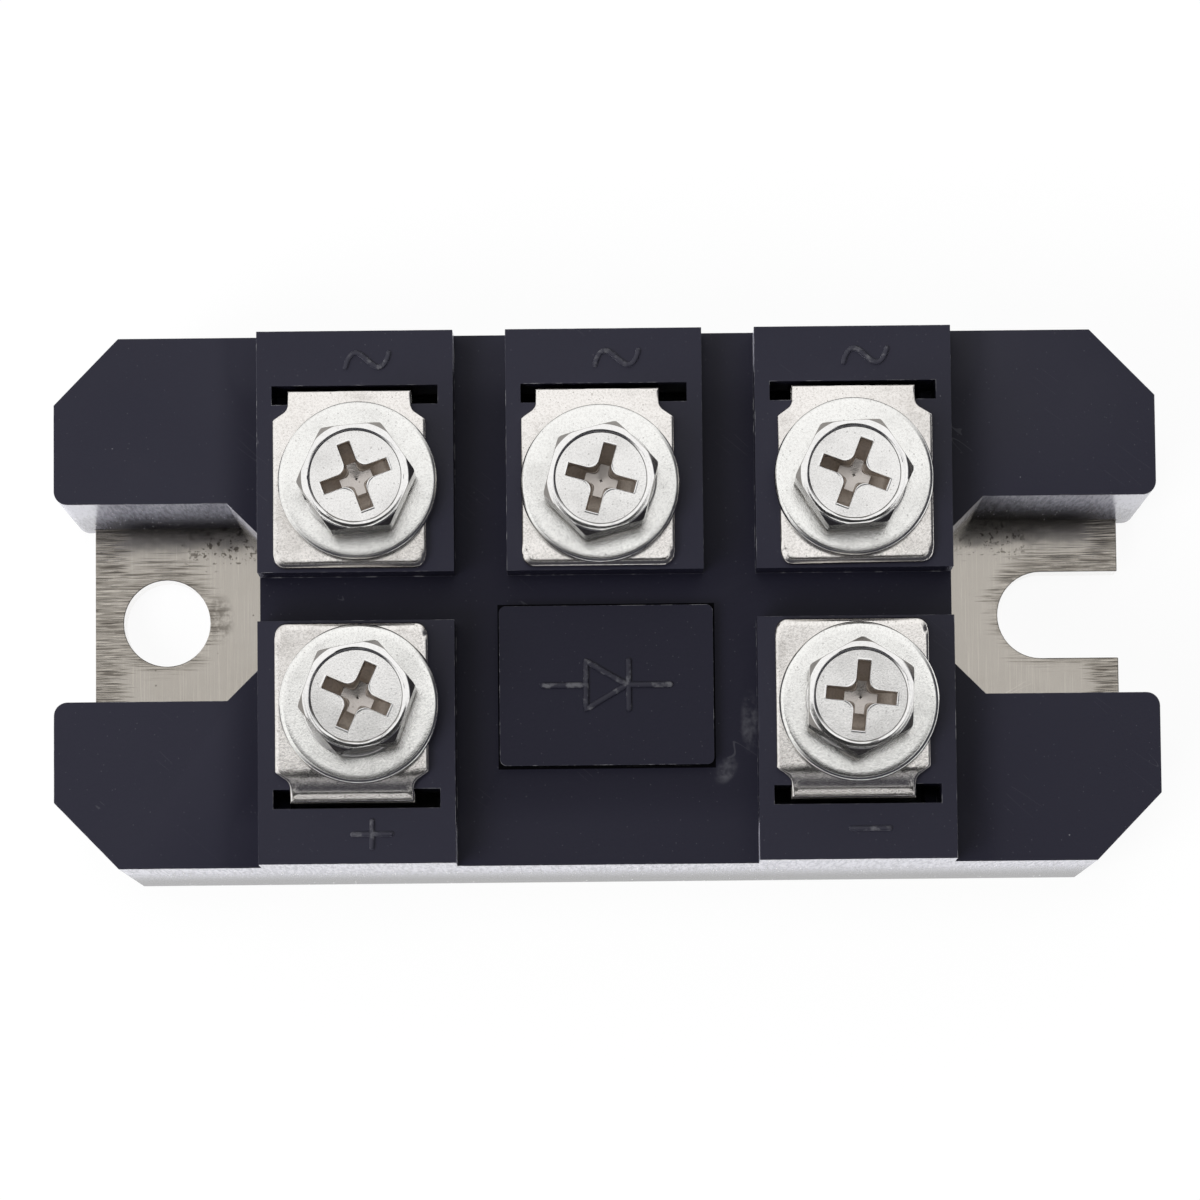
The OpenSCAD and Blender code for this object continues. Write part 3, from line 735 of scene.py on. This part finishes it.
def makeTab(node, seat, look):
    # the tab as rays round the screw hole: the top falls off in a quarter ellipse towards every
    # edge and follows the rolled profile down into the slot
    corners, out, far = tabOutline(node, seat, look)
    turn = np.concatenate([np.linspace(-math.pi, math.pi, look["rays"], endpoint=False),
                           np.arctan2(corners[:, 1], corners[:, 0])])
    turn = np.unique(np.round(turn, 4))
    reach = rayLengths(turn, corners)
    inset = np.array(look["rings"]) * mm
    shrink = np.clip((reach - look["hole"] - 0.1 * mm) / (2.5 * mm), 0.3, 1)
    radius = reach[None, :] - inset[:, None] * shrink[None, :]
    inner = look["hole"] + (radius[-1] - look["hole"]) * np.array([0.66, 0.33, 0.0])[:, None]
    radius = np.concatenate([radius, inner])
    x, y = radius * np.cos(turn), radius * np.sin(turn)
    spots = np.stack([x, y], -1)
    fromBend = far - spots @ out
    away, drop = np.array(look["roll"]).T * mm
    top = -np.interp(fromBend, away, drop)
    fall = np.zeros(x.shape)
    free = (corners @ out).min()
    for a, b in zip(corners, np.roll(corners, -1, 0)):
        middle = (a + b) / 2 @ out
        if middle > far - 0.1 * mm:
            continue
        kind = "end" if middle < free + 1.0 * mm else "side" if middle < look["wideTo"] else "neck"
        size = look[kind]
        share = np.clip(((spots - a) @ (b - a)) / max((b - a) @ (b - a), 1e-12), 0, 1)
        away = np.linalg.norm(spots - a - share[..., None] * (b - a), axis=-1)
        near = np.clip(1 - away / size[0], 0, 1)
        fall = np.maximum(fall, size[1] * (1 - np.sqrt(1 - near ** 2)))
    wave = look["sag"] * (np.sin(x / (1.9 * mm) + seat[0] / mm)
                          * np.cos(y / (2.3 * mm) + seat[1] / mm))
    wave = np.minimum(wave, 0) * np.clip(1 - fall / (0.05 * mm), 0, 1) * (top > -0.01 * mm)
    low = seat[2] - look["thick"]
    foot = seat[2] - look["depth"]
    floor = np.where(fromBend < look["thick"], foot, low)
    height = np.maximum(seat[2] + top - fall + wave, floor + 0.05 * mm)
    # the underside: one ring at the hole and one at the edge
    x = np.concatenate([x, x[-1:], x[:1]])
    y = np.concatenate([y, y[-1:], y[:1]])
    height = np.concatenate([height, floor[:1], np.full((1, len(turn)), low)])
    points = np.stack([x + seat[0], y + seat[1], height], -1).reshape(-1, 3)
    return points, ringFaces(len(x), len(turn), closed=True), foot


def makeTerminal(node, seat, look):
    # the folded strap below the tab is the CAD node's own, cut off just under the tab
    points, faces, foot = makeTab(node, seat, look)
    work = wholeFaces(node)
    everything = work.verts[:] + work.edges[:] + work.faces[:]
    bmesh.ops.bisect_plane(work, geom=everything, plane_co=(0, 0, foot - 0.02 * mm),
                           plane_no=(0, 0, 1), clear_outer=True)
    bmesh.ops.holes_fill(work, edges=[edge for edge in work.edges if len(edge.link_faces) == 1])
    for vert in work.verts:
        if vert.co.z > foot - 0.03 * mm:
            vert.co.z = foot + 0.03 * mm
    strap = bpy.data.meshes.new(node)
    work.to_mesh(strap)
    work.free()
    strapFaces = [[corner + len(points) for corner in face.vertices] for face in strap.polygons]
    points = np.concatenate([points, meshPoints(strap)])
    bpy.data.meshes.remove(strap)
    terminal = meshObject(node + "_strap", points, faces.tolist() + strapFaces, [tabNickel])
    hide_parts(node)


for node, seat in zip(terminalNodes, seats):
    makeTerminal(node, seat, tabLook)
print("terminals made")


washerLook = {"rays": 120, "crown": 0.34 * mm, "hole": 2.9 * mm, "rim": 0.08 * mm}
springLook = {"reach": 3.78 * mm, "round": 0.15 * mm}


def makeWasher(node, seat, look):
    # a ring turned about Z: the half-section is a flat band whose outer corners are quarter circles
    low, high = solidBox("flat_washers", seat)
    middle = (low + high) / 2
    outer, inner = (high[0] - low[0]) / 2, look["hole"]
    r, rim = look["crown"], look["rim"]
    arc = np.linspace(0, math.pi / 2, 6)
    topArc = np.stack([outer - r + r * np.sin(arc), high[2] - r + r * np.cos(arc)], 1)
    lowArc = np.stack([outer - r + r * np.cos(arc), low[2] + r - r * np.sin(arc)], 1)
    flat = np.linspace(inner + rim, outer - r, 8)[:-1]
    section = np.concatenate([
        [[inner, low[2]]], [[inner, high[2] - rim]],
        np.stack([flat, np.full(7, high[2])], 1), topArc, lowArc])
    turn = np.linspace(0, 2 * math.pi, look["rays"], endpoint=False)
    x = middle[0] + section[:, :1] * np.cos(turn)[None, :]
    y = middle[1] + section[:, :1] * np.sin(turn)[None, :]
    z = np.repeat(section[:, 1:], look["rays"], 1)
    points = np.stack([x, y, z], -1).reshape(-1, 3)
    faces = ringFaces(len(section), look["rays"], closed=True)[:, ::-1]
    washer = meshObject(node.replace("terminal", "washer"), points, faces.tolist(), [washerNickel])
    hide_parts("flat_washers")


def trimSprings(springs, reach):
    # each washer's points drawn in towards its own screw, no further out than the reach
    points = meshPoints(springs.data)
    middles = np.array(seats)[:, :2]
    nearest = np.linalg.norm(points[:, None, :2] - middles[None], axis=2).argmin(1)
    away = points[:, :2] - middles[nearest]
    far = np.linalg.norm(away, axis=1)
    share = np.minimum(far, reach) / np.maximum(far, 1e-6)
    points[:, :2] = middles[nearest] + away * share[:, None]
    springs.data.vertices.foreach_set("co", points.ravel())
    springs.data.update()


for node, seat in zip(terminalNodes, seats):
    makeWasher(node, seat, washerLook)
springs = mergedCopy("spring_washers", "split_spring_washers", [springNickel])
trimSprings(springs, springLook["reach"])
roundEdges(springs, springLook["round"], 3, 40.0)
print("washers made")


screwLook = {
    "cross": (0.475 * mm, 2.50 * mm, 0.66 * mm),      # half width and reach of an arm, inner fillet
    "crossFoot": (0.405 * mm, 2.40 * mm, 0.47 * mm),  # the same at the foot of the recess walls
    "star": (0.33 * mm, 1.17 * mm, 0.40 * mm),        # the level floor in the middle of the recess
    "starDepth": 1.95 * mm,
    "armDepth": (1.75 * mm, 0.55 * mm),               # beside the star and at an arm's end
    "lip": (0.15 * mm, 0.022 * mm),                   # width and height of the burr round it
    "dish": 3.24 * mm,            # radius of the dish floor
    "dishDepth": 0.20 * mm,
    "dishEdge": 0.03 * mm,        # the dish is level from this far outside the burr
    "crownTop": 3.44 * mm,        # radius at the top and the outer edge of the round rim
    "crownOut": 3.61 * mm,
    "crownDrop": (0.11 * mm, 0.02 * mm),
    "turned": 0.007 * mm,         # height of the turning marks on the rim
    "corners": 4.26 * mm,         # rounded corners of the hexagon
    "flats": 3.70 * mm,
    "headHeight": 3.5 * mm,
    "sharpness": 90,              # power of the mean that blends flats and corners
    "corner": (0.22 * mm, 0.05, 0.90),    # the corners' bevel: gentle for this far, then steep
    "groove": 0.02 * mm,          # width of the painted shade line round the dish
    "shank": 2.5 * mm,
    "tip": ((0.4 * mm, 2.05 * mm), (0.0, 1.8 * mm)),    # height and radius of the bevelled tip
    "pitch": 0.8 * mm,
    "threadDepth": 0.42 * mm,
    # for each screw: turns of the head and the cross, and what the painted shade line gains below
    "each": ((5, 20, 0.07 * mm), (15, -15.5, 0.03 * mm), (3.5, -21, 0.07 * mm),
             (10, -24, 0.10 * mm), (28, -6, 0.05 * mm)),
}


def crossAngles(look):
    # rays through the cross, close together where its outline turns
    a, reach, fillet = look["cross"]
    corner = math.atan2(a, reach)
    side = np.arctan2(a, np.linspace(reach, a + fillet, 8)[1:-1])
    bend = np.linspace(math.atan2(a, a + fillet), math.pi / 4, 9)
    half = np.concatenate([np.linspace(0, corner, 5), side, bend])
    quarter = np.concatenate([half, (math.pi / 2 - half[::-1])[1:-1]])
    return np.concatenate([quarter + k * math.pi / 2 for k in range(4)])


def crossOutline(angle, sizes):
    # distance from the middle to the edge of a cross along each ray: the arm's end, then its
    # side, then the round corner between two arms
    a, reach, fillet = sizes
    fold = np.mod(angle, math.pi / 2)
    fold = np.minimum(fold, math.pi / 2 - fold)
    middle = a + fillet
    along = middle * (np.cos(fold) + np.sin(fold))
    inside = np.maximum(along ** 2 - (2 * middle ** 2 - fillet ** 2), 0)
    end = reach / np.cos(fold)
    side = a / np.maximum(np.sin(fold), 1e-6)
    bend = along - np.sqrt(inside)
    return np.where(fold <= math.atan2(a, reach) + 1e-9, end,
                    np.where(fold <= math.atan2(a, middle) + 1e-9, side, bend))


def hexOutline(angle, look):
    # a hexagon's edge blended into the circle round its corners by a high power mean
    fold = np.mod(angle, math.pi / 3) - math.pi / 6
    flat = look["flats"] / np.cos(fold)
    power = look["sharpness"]
    return (flat ** -power + look["corners"] ** -power) ** (-1 / power)


def screwRings(high, look, headTurn, crossTurn, more):
    # rings of points on the same rays, with the finish of the band inside each: star, arms and
    # walls of the recess, burr, dish, round rim, corner bevel and flank
    rim, dish, arm, star, lip, flank, groove = range(7)
    top, under = high - look["turned"], high - look["headHeight"]
    floor = top - look["dishDepth"]
    angle = crossAngles(look)
    edge, foot, middle = [crossOutline(angle, look[key]) for key in ("cross", "crossFoot", "star")]
    hexagon = hexOutline(angle + math.radians(crossTurn - headTurn), look)
    rings, finish = [], []

    def ring(radius, height, kind):
        radius = np.broadcast_to(radius, angle.shape)
        height = np.broadcast_to(height, angle.shape)
        rings.append(np.stack([radius, height], 1))
        finish.append(kind)

    bottom = floor - look["starDepth"]
    for share in (0.10, 0.14, 0.35, 0.65, 0.9, 1.0):
        ring(middle * share, bottom + 0.09 * middle * share, star)
    ring(middle + 0.04 * mm, bottom + 0.16 * mm, star)
    deep, shallow = look["armDepth"]
    for share in (0.1, 0.3, 0.5, 0.75, 1.0):
        radius = middle + 0.05 * mm + (foot - middle - 0.05 * mm) * share
        rise = np.clip((radius - look["star"][1]) / (look["crossFoot"][1] - look["star"][1]), 0, 1)
        ring(radius, floor - deep + (deep - shallow) * rise, arm)
    for share in (0.4, 0.8):
        ring(foot + (edge - foot) * share, floor - (0.08 * mm + shallow * 0.9 * (1 - share)), arm)
    width, height = look["lip"]
    ring(edge, floor - 0.03 * mm, lip)
    for share, rise in ((0.2, 0.8), (0.45, 1.0), (0.8, 0.8)):
        ring(edge + width * share, floor + height * rise, lip)
    ring(edge + width, floor, dish)
    level = edge + width + look["dishEdge"]
    for share in (0.0, 0.3, 0.65, 0.95, 1.0):
        ring(level + (look["dish"] - level) * share, floor, dish)
    # painted shade: the dark line round the dish stands in for the shade in its groove, and is wider
    # on the side that faces away from the light
    world = angle + math.radians(crossTurn)
    wander = 0.5 + 0.25 * np.sin(5 * world + headTurn) + 0.25 * np.sin(13 * world + 2 * headTurn)
    wide = look["groove"] + more * wander * np.clip(-np.sin(world + 0.2), 0, 1)
    ring(look["dish"] + 0.02 * mm, floor - 0.05 * mm, groove)
    ring(look["dish"] + wide, floor - 0.03 * mm, groove)
    fall, outerFall = look["crownDrop"]
    inner = look["dish"] + wide + 0.02 * mm
    crown = look["crownTop"]
    for share in (0.0, 0.12, 0.3, 0.5, 0.75, 1.0):
        turn = share * math.pi / 2
        scored = look["turned"] * np.sin(9 * share + 3 * np.sin(2 * world) + headTurn)
        ring(crown - (crown - inner) * math.cos(turn),
             top - fall * (1 - math.sin(turn)) + scored * (share > 0.1), rim)
    for share in (0.2, 0.4, 0.6, 0.8, 1.0):
        scored = look["turned"] * np.sin(31 * share + 2 * np.sin(3 * world) + headTurn)
        ring(crown + (look["crownOut"] - crown) * share, top - outerFall * share ** 2 + scored, rim)
    bevel = hexagon - look["crownOut"]
    shelf, gentle, steep = look["corner"]

    def bevelHeight(away):
        drop = gentle * np.minimum(away, shelf) + steep * np.maximum(away - shelf, 0)
        return top - outerFall - drop

    for far, kind in ((0.5 * shelf, rim), (shelf, rim), (shelf + 0.02 * mm, rim),
                      (shelf + 0.1 * mm, flank)):
        away = np.minimum(far, bevel * (0.5 + 0.4 * far / (0.3 * mm)))
        ring(look["crownOut"] + away, bevelHeight(away), kind)
    edgeHeight = bevelHeight(bevel)
    ring(hexagon, edgeHeight, flank)
    ring(hexagon, edgeHeight - 0.06 * mm, flank)
    for share in (0.25, 0.5, 0.75, 1.0):
        ring(hexagon, edgeHeight + (under + 0.1 * mm - edgeHeight) * share, flank)
    ring(hexagon - 0.1 * mm, under, flank)
    return np.array(rings), finish, angle + math.radians(crossTurn)


def makeScrew(node, seat, look, each):
    low, high = solidBox("terminal_screws", seat)
    middle = (low + high) / 2
    rings, kinds, turn = screwRings(high[2], look, *each)

    def turned(radius, height, angle):
        x, y = middle[0] + radius * np.cos(angle), middle[1] + radius * np.sin(angle)
        return np.stack([x, y, height], -1).reshape(-1, 3)

    count = len(turn)
    head = turned(rings[:, :, 0], rings[:, :, 1], turn)
    # the middle point closes the recess floor
    pole = [[middle[0], middle[1], rings[0, 0, 1] - 0.35 * mm]]
    fan = [[len(head), (k + 1) % count, k] for k in range(count)]
    # shank: every fourth ray, radius falling and rising with the thread as it goes down
    thread = turn[::4]
    shankTop, shankTip = high[2] - look["headHeight"], low[2]
    heights = np.arange(shankTop, shankTip + 0.5 * mm, -look["pitch"] / 6)
    phase = (heights[:, None] / look["pitch"] + thread[None, :] / (2 * math.pi)) % 1
    depth = look["threadDepth"] * np.abs(2 * phase - 1)
    cutIn = np.clip((shankTop - heights - 1.0 * mm) / (1.0 * mm), 0, 1)
    shank = look["shank"] - depth * cutIn[:, None]
    for rise, radius in look["tip"]:
        heights = np.append(heights, shankTip + rise)
        shank = np.concatenate([shank, np.full((1, len(thread)), radius)])
    start = len(head) + 1
    heights = np.repeat(heights[:, None], len(thread), 1)
    points = np.concatenate([head, pole, turned(shank, heights, thread)])
    # the underside of the head joins each part of the shank's first ring to four rays of the head
    last = (len(rings) - 1) * count
    under = []
    for k in range(len(thread)):
        outer = [last + (4 * k + j) % count for j in range(5)]
        under.append((outer + [start + (k + 1) % len(thread), start + k])[::-1])
    tip = [start + (len(heights) - 1) * len(thread) + k for k in range(len(thread))][::-1]
    top = ringFaces(len(rings), count)[:, ::-1].tolist()
    lower = ringFaces(len(heights), len(thread), start)[:, ::-1].tolist()
    # in the order of the numbers in screwRings
    finishes = [rimNickel, dishNickel, crossNickel, starNickel, highlightLipNickel, shadedFlankNickel,
                grooveShadeNickel]
    slots = np.concatenate([np.repeat(kinds[1:], count), np.full(len(fan), kinds[0]),
                            np.zeros(len(lower) + len(under) + 1, int)])
    screw = meshObject(node.replace("terminal", "screw"), points, top + fan + lower + under + [tip],
                       finishes, slots, 40.0)
    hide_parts("terminal_screws")


for node, seat, each in zip(terminalNodes, seats, screwLook["each"]):
    makeScrew(node, seat, screwLook, each)
print("screws made")


markLook = {
    "width": 0.36 * mm, "rise": 0.20 * mm, "sides": 16,
    "across": 1.38 * mm, "upright": 0.95 * mm,    # half lengths of the strokes of plus and minus
    # shift along X from the seat and place along Y of each sign
    "places": ((0.92 * mm, 17.13 * mm), (0.96 * mm, 17.13 * mm), (0.92 * mm, 17.13 * mm),
               (1.07 * mm, -17.18 * mm), (0.86 * mm, -17.10 * mm)),
}
symbolLook = {
    **markLook, "width": 0.42 * mm,
    "half": 1.75 * mm, "narrow": 0.85,            # half height of the triangle, and its width by it
    "barGap": 0.12 * mm,
    "lead": (3.0 * mm, 4.6 * mm),                 # a bend point and the end of each lead
}


def bead(path, z, look, closed=False):
    # a round bar carried along a path on a level face: each ring is an ellipse across the path,
    # as wide as the stroke and half sunk, and the ends close on a dome
    path = np.asarray(path, float)
    if closed:
        ahead, behind = np.roll(path, -1, 0), np.roll(path, 1, 0)
    else:
        ahead = np.concatenate([path[1:], path[-1:]])
        behind = np.concatenate([path[:1], path[:-1]])
    along = ahead - behind
    along /= np.linalg.norm(along, axis=1)[:, None]
    across = np.stack([-along[:, 1], along[:, 0]], 1)
    scale = np.ones(len(path))
    if not closed:
        r = look["width"] / 2
        dome = np.array([0.05, 0.5, 0.8, 0.95])
        first = path[0] - along[0] * r * np.sqrt(1 - dome[:, None] ** 2)
        final = path[-1] + along[-1] * r * np.sqrt(1 - dome[::-1, None] ** 2)
        path = np.concatenate([first, path, final])
        across = np.concatenate([np.repeat(across[:1], 4, 0), across, np.repeat(across[-1:], 4, 0)])
        scale = np.concatenate([dome, scale, dome[::-1]])
    turn = np.linspace(0, 2 * math.pi, look["sides"], endpoint=False)
    wide = (look["width"] / 2) * scale[:, None] * np.sign(np.cos(turn)) * np.abs(np.cos(turn)) ** 0.6
    high = look["rise"] * scale[:, None] ** 0.5 * np.sign(np.sin(turn)) * np.abs(np.sin(turn)) ** 0.6
    flat = path[:, None, :] + across[:, None, :] * wide[:, :, None]
    points = np.concatenate([flat, (z + high)[:, :, None]], 2).reshape(-1, 3)
    faces = ringFaces(len(path), look["sides"], closed=closed)
    ring = list(range(look["sides"]))
    caps = [] if closed else [ring[::-1], [(len(path) - 1) * look["sides"] + k for k in ring]]
    return points, faces.tolist() + caps


def makeMark(name, strokes, z, look):
    points, faces, start = [], [], 0
    for path, closed in strokes:
        more, quads = bead(path, z, look, closed)
        points.append(more)
        faces += [[corner + start for corner in face] for face in quads]
        start += len(more)
    mark = meshObject(name, np.concatenate(points), faces, [markPlastic], None, 60.0)
    work = bmesh.new()
    work.from_mesh(mark.data)
    bmesh.ops.recalc_face_normals(work, faces=work.faces)
    work.to_mesh(mark.data)
    work.free()


def tildePath(centre, half=1.56 * mm, lift=0.52 * mm):
    # a wave of 1.4 half turns to each side whose ends stand upright: x slows down like a sine
    t = np.linspace(-1, 1, 49)
    x = half * np.sin(t * math.pi / 2)
    y = -lift * np.sin(1.4 * math.pi * t)
    return np.stack([centre[0] + x, centre[1] + y], 1)


def bar(middle, reach):
    # a straight stroke through a middle point
    middle = np.asarray(middle)
    return np.array([middle - reach, middle, middle + reach])


def chain(corners, step=0.2 * mm):
    # points evenly along the sides of a closed outline
    parts = []
    for a, b in zip(corners, np.roll(corners, -1, 0)):
        count = max(2, int(np.linalg.norm(b - a) / step))
        parts.append(a + (b - a) * np.linspace(0, 1, count, endpoint=False)[:, None])
    return np.concatenate(parts)


middles = [np.array([seat[0] + shift, y]) for seat, (shift, y) in zip(seats, markLook["places"])]
for i in range(3):
    makeMark("mark_alternating_%d" % (i + 1), [(tildePath(middles[i]), False)], blockTop, markLook)
across, upright = np.array([markLook["across"], 0]), np.array([0, markLook["upright"]])
makeMark("mark_positive", [(bar(middles[3], across), False), (bar(middles[3], upright), False)],
         blockTop, markLook)
makeMark("mark_negative", [(bar(middles[4], across), False)], blockTop, markLook)

# the diode symbol: a triangle, the bar at its point and a lead on each side
tall, wide = symbolLook["half"], symbolLook["half"] * symbolLook["narrow"]
barX = wide + symbolLook["barGap"]
near, far = symbolLook["lead"]
symbol = [
    (chain(np.array([[-wide, tall], [-wide, -tall], [wide, 0]]) + padMiddle), True),
    (bar(padMiddle + [barX, 0], np.array([0, tall])), False),
    (padMiddle + np.array([[-far, 0], [-near, 0], [-wide, 0]]), False),
    (padMiddle + np.array([[barX, 0], [near, 0], [far, 0]]), False),
]
makeMark("mark_diode_symbol", symbol, padTop, symbolLook)
print("marks made")


ceramic = innerFinish("firedCeramic", (0.85, 0.83, 0.79, 1), (0.74, 0.71, 0.66, 1), 0.55)
potting = innerFinish("curedPotting", (0.030, 0.030, 0.035, 1), (0.045, 0.043, 0.046, 1), 0.35)
copper = innerFinish("rolledCopper", (0.72, 0.42, 0.26, 1), (0.50, 0.27, 0.16, 1), 0.32, 1.0)
silicon = innerFinish("metallisedSilicon", (0.20, 0.21, 0.24, 1), (0.13, 0.14, 0.17, 1), 0.3, 0.6)
nodeFinish = {
    "ceramic_substrate": ceramic, "potting": potting,
    "positive_bus": copper, "negative_bus": copper, "terminal_nuts": nutNickel,
    **{"diode_chip_%d" % number: silicon for number in range(1, 7)},
}
for node, finish in nodeFinish.items():
    for slot in frame["nodes"][node].material_slots:
        slot.material = finish
print("inner parts finished")


def stagePlane(name, corners, z):
    # a level rectangle of the stage with an empty material
    mesh = bpy.data.meshes.new(name)
    mesh.from_pydata([(x, y, z) for x, y in corners], [], [(0, 1, 2, 3)])
    material = bpy.data.materials.new(name)
    mesh.materials.append(material)
    plane = bpy.data.objects.new(name, mesh)
    scene.collection.objects.link(plane)
    return plane, *emptyTree(material, "ShaderNodeOutputMaterial")


def makeFloor(look):
    half = look["floorHalf"]
    corners = [(-half, -half), (half, -half), (half, half), (-half, half)]
    floor, tree, surface = stagePlane("floor", corners, cadLow.z - look["floorGap"])
    matt = newNode(tree, "BsdfDiffuse", {"Color": (0.9, 0.9, 0.9, 1)})
    white = newNode(tree, "Emission", {"Color": (1, 1, 1, 1), "Strength": 1.0})
    rays = tree.nodes.new("ShaderNodeLightPath").outputs
    kinds = ("Camera", "Glossy", "Transmission")
    seen = largest(*[rays["Is %s Ray" % kind] for kind in kinds])
    share = product(seen, look["floorGlow"])
    both = addNode("MixShader", {0: share, 1: matt.outputs[0], 2: white.outputs[0]})
    tree.links.new(both.outputs[0], surface)


def makeCard(look):
    # the dark back of the camera, which the bright metal mirrors where it is tilted towards it
    x, y, z = [value * mm for value in look["cardMiddle"]]
    a, b = [value * mm for value in look["cardHalf"]]
    corners = [(x - a, y - b), (x - a, y + b), (x + a, y + b), (x + a, y - b)]
    card, tree, surface = stagePlane("darkCard", corners, z)
    black = newNode(tree, "BsdfDiffuse", {"Color": (0.02, 0.02, 0.02, 1)})
    tree.links.new(black.outputs[0], surface)
    card.visible_camera = False
    card.visible_diffuse = False
    card.visible_shadow = False


def makeWorld(look):
    # a bright tent that is dark towards the side where the camera stands; seen directly it is white
    world = bpy.data.worlds.new("studio")
    scene.world = world
    tree, surface = emptyTree(world, "ShaderNodeOutputWorld")
    place = tree.nodes.new("ShaderNodeTexCoord").outputs["Generated"]
    x, y, z = addNode("SeparateXYZ", {0: place}).outputs
    off = maths("SQRT", maths("ADD", product(x, x), product(y, y)))
    towards = maths("ADD", *[product(*pair) for pair in zip((x, y), look["darkSide"])])
    turn = maths("DIVIDE", towards, largest(off, 0.001))
    dark = product(ranged(turn, *look["darkTurn"]), ranged(off, *look["darkFall"]))
    share = product(maths("SUBTRACT", 1.0, dark),
                    ranged(z, 0.0, 0.35, look["rimShare"], 1.0))
    tone = mixed(share, look["horizon"], look["zenith"])
    dome = addNode("Background", {"Color": tone, "Strength": 1.0})
    plain = newNode(tree, "Background", {"Color": (1, 1, 1, 1), "Strength": 1.0})
    rays = tree.nodes.new("ShaderNodeLightPath").outputs
    both = addNode("MixShader", {0: rays["Is Camera Ray"], 1: dome.outputs[0], 2: plain.outputs[0]})
    tree.links.new(both.outputs[0], surface)


makeCamera(cameraLook)
makeLamp("keyLamp", lightLook["keyPlace"], lightLook["keySize"], lightLook["keyPower"])
makeLamp("fillLamp", lightLook["fillPlace"], lightLook["fillSize"], lightLook["fillPower"])
makeFloor(lightLook)
makeCard(lightLook)
makeWorld(lightLook)
scene.view_settings.view_transform = "Standard"
print("stage made")
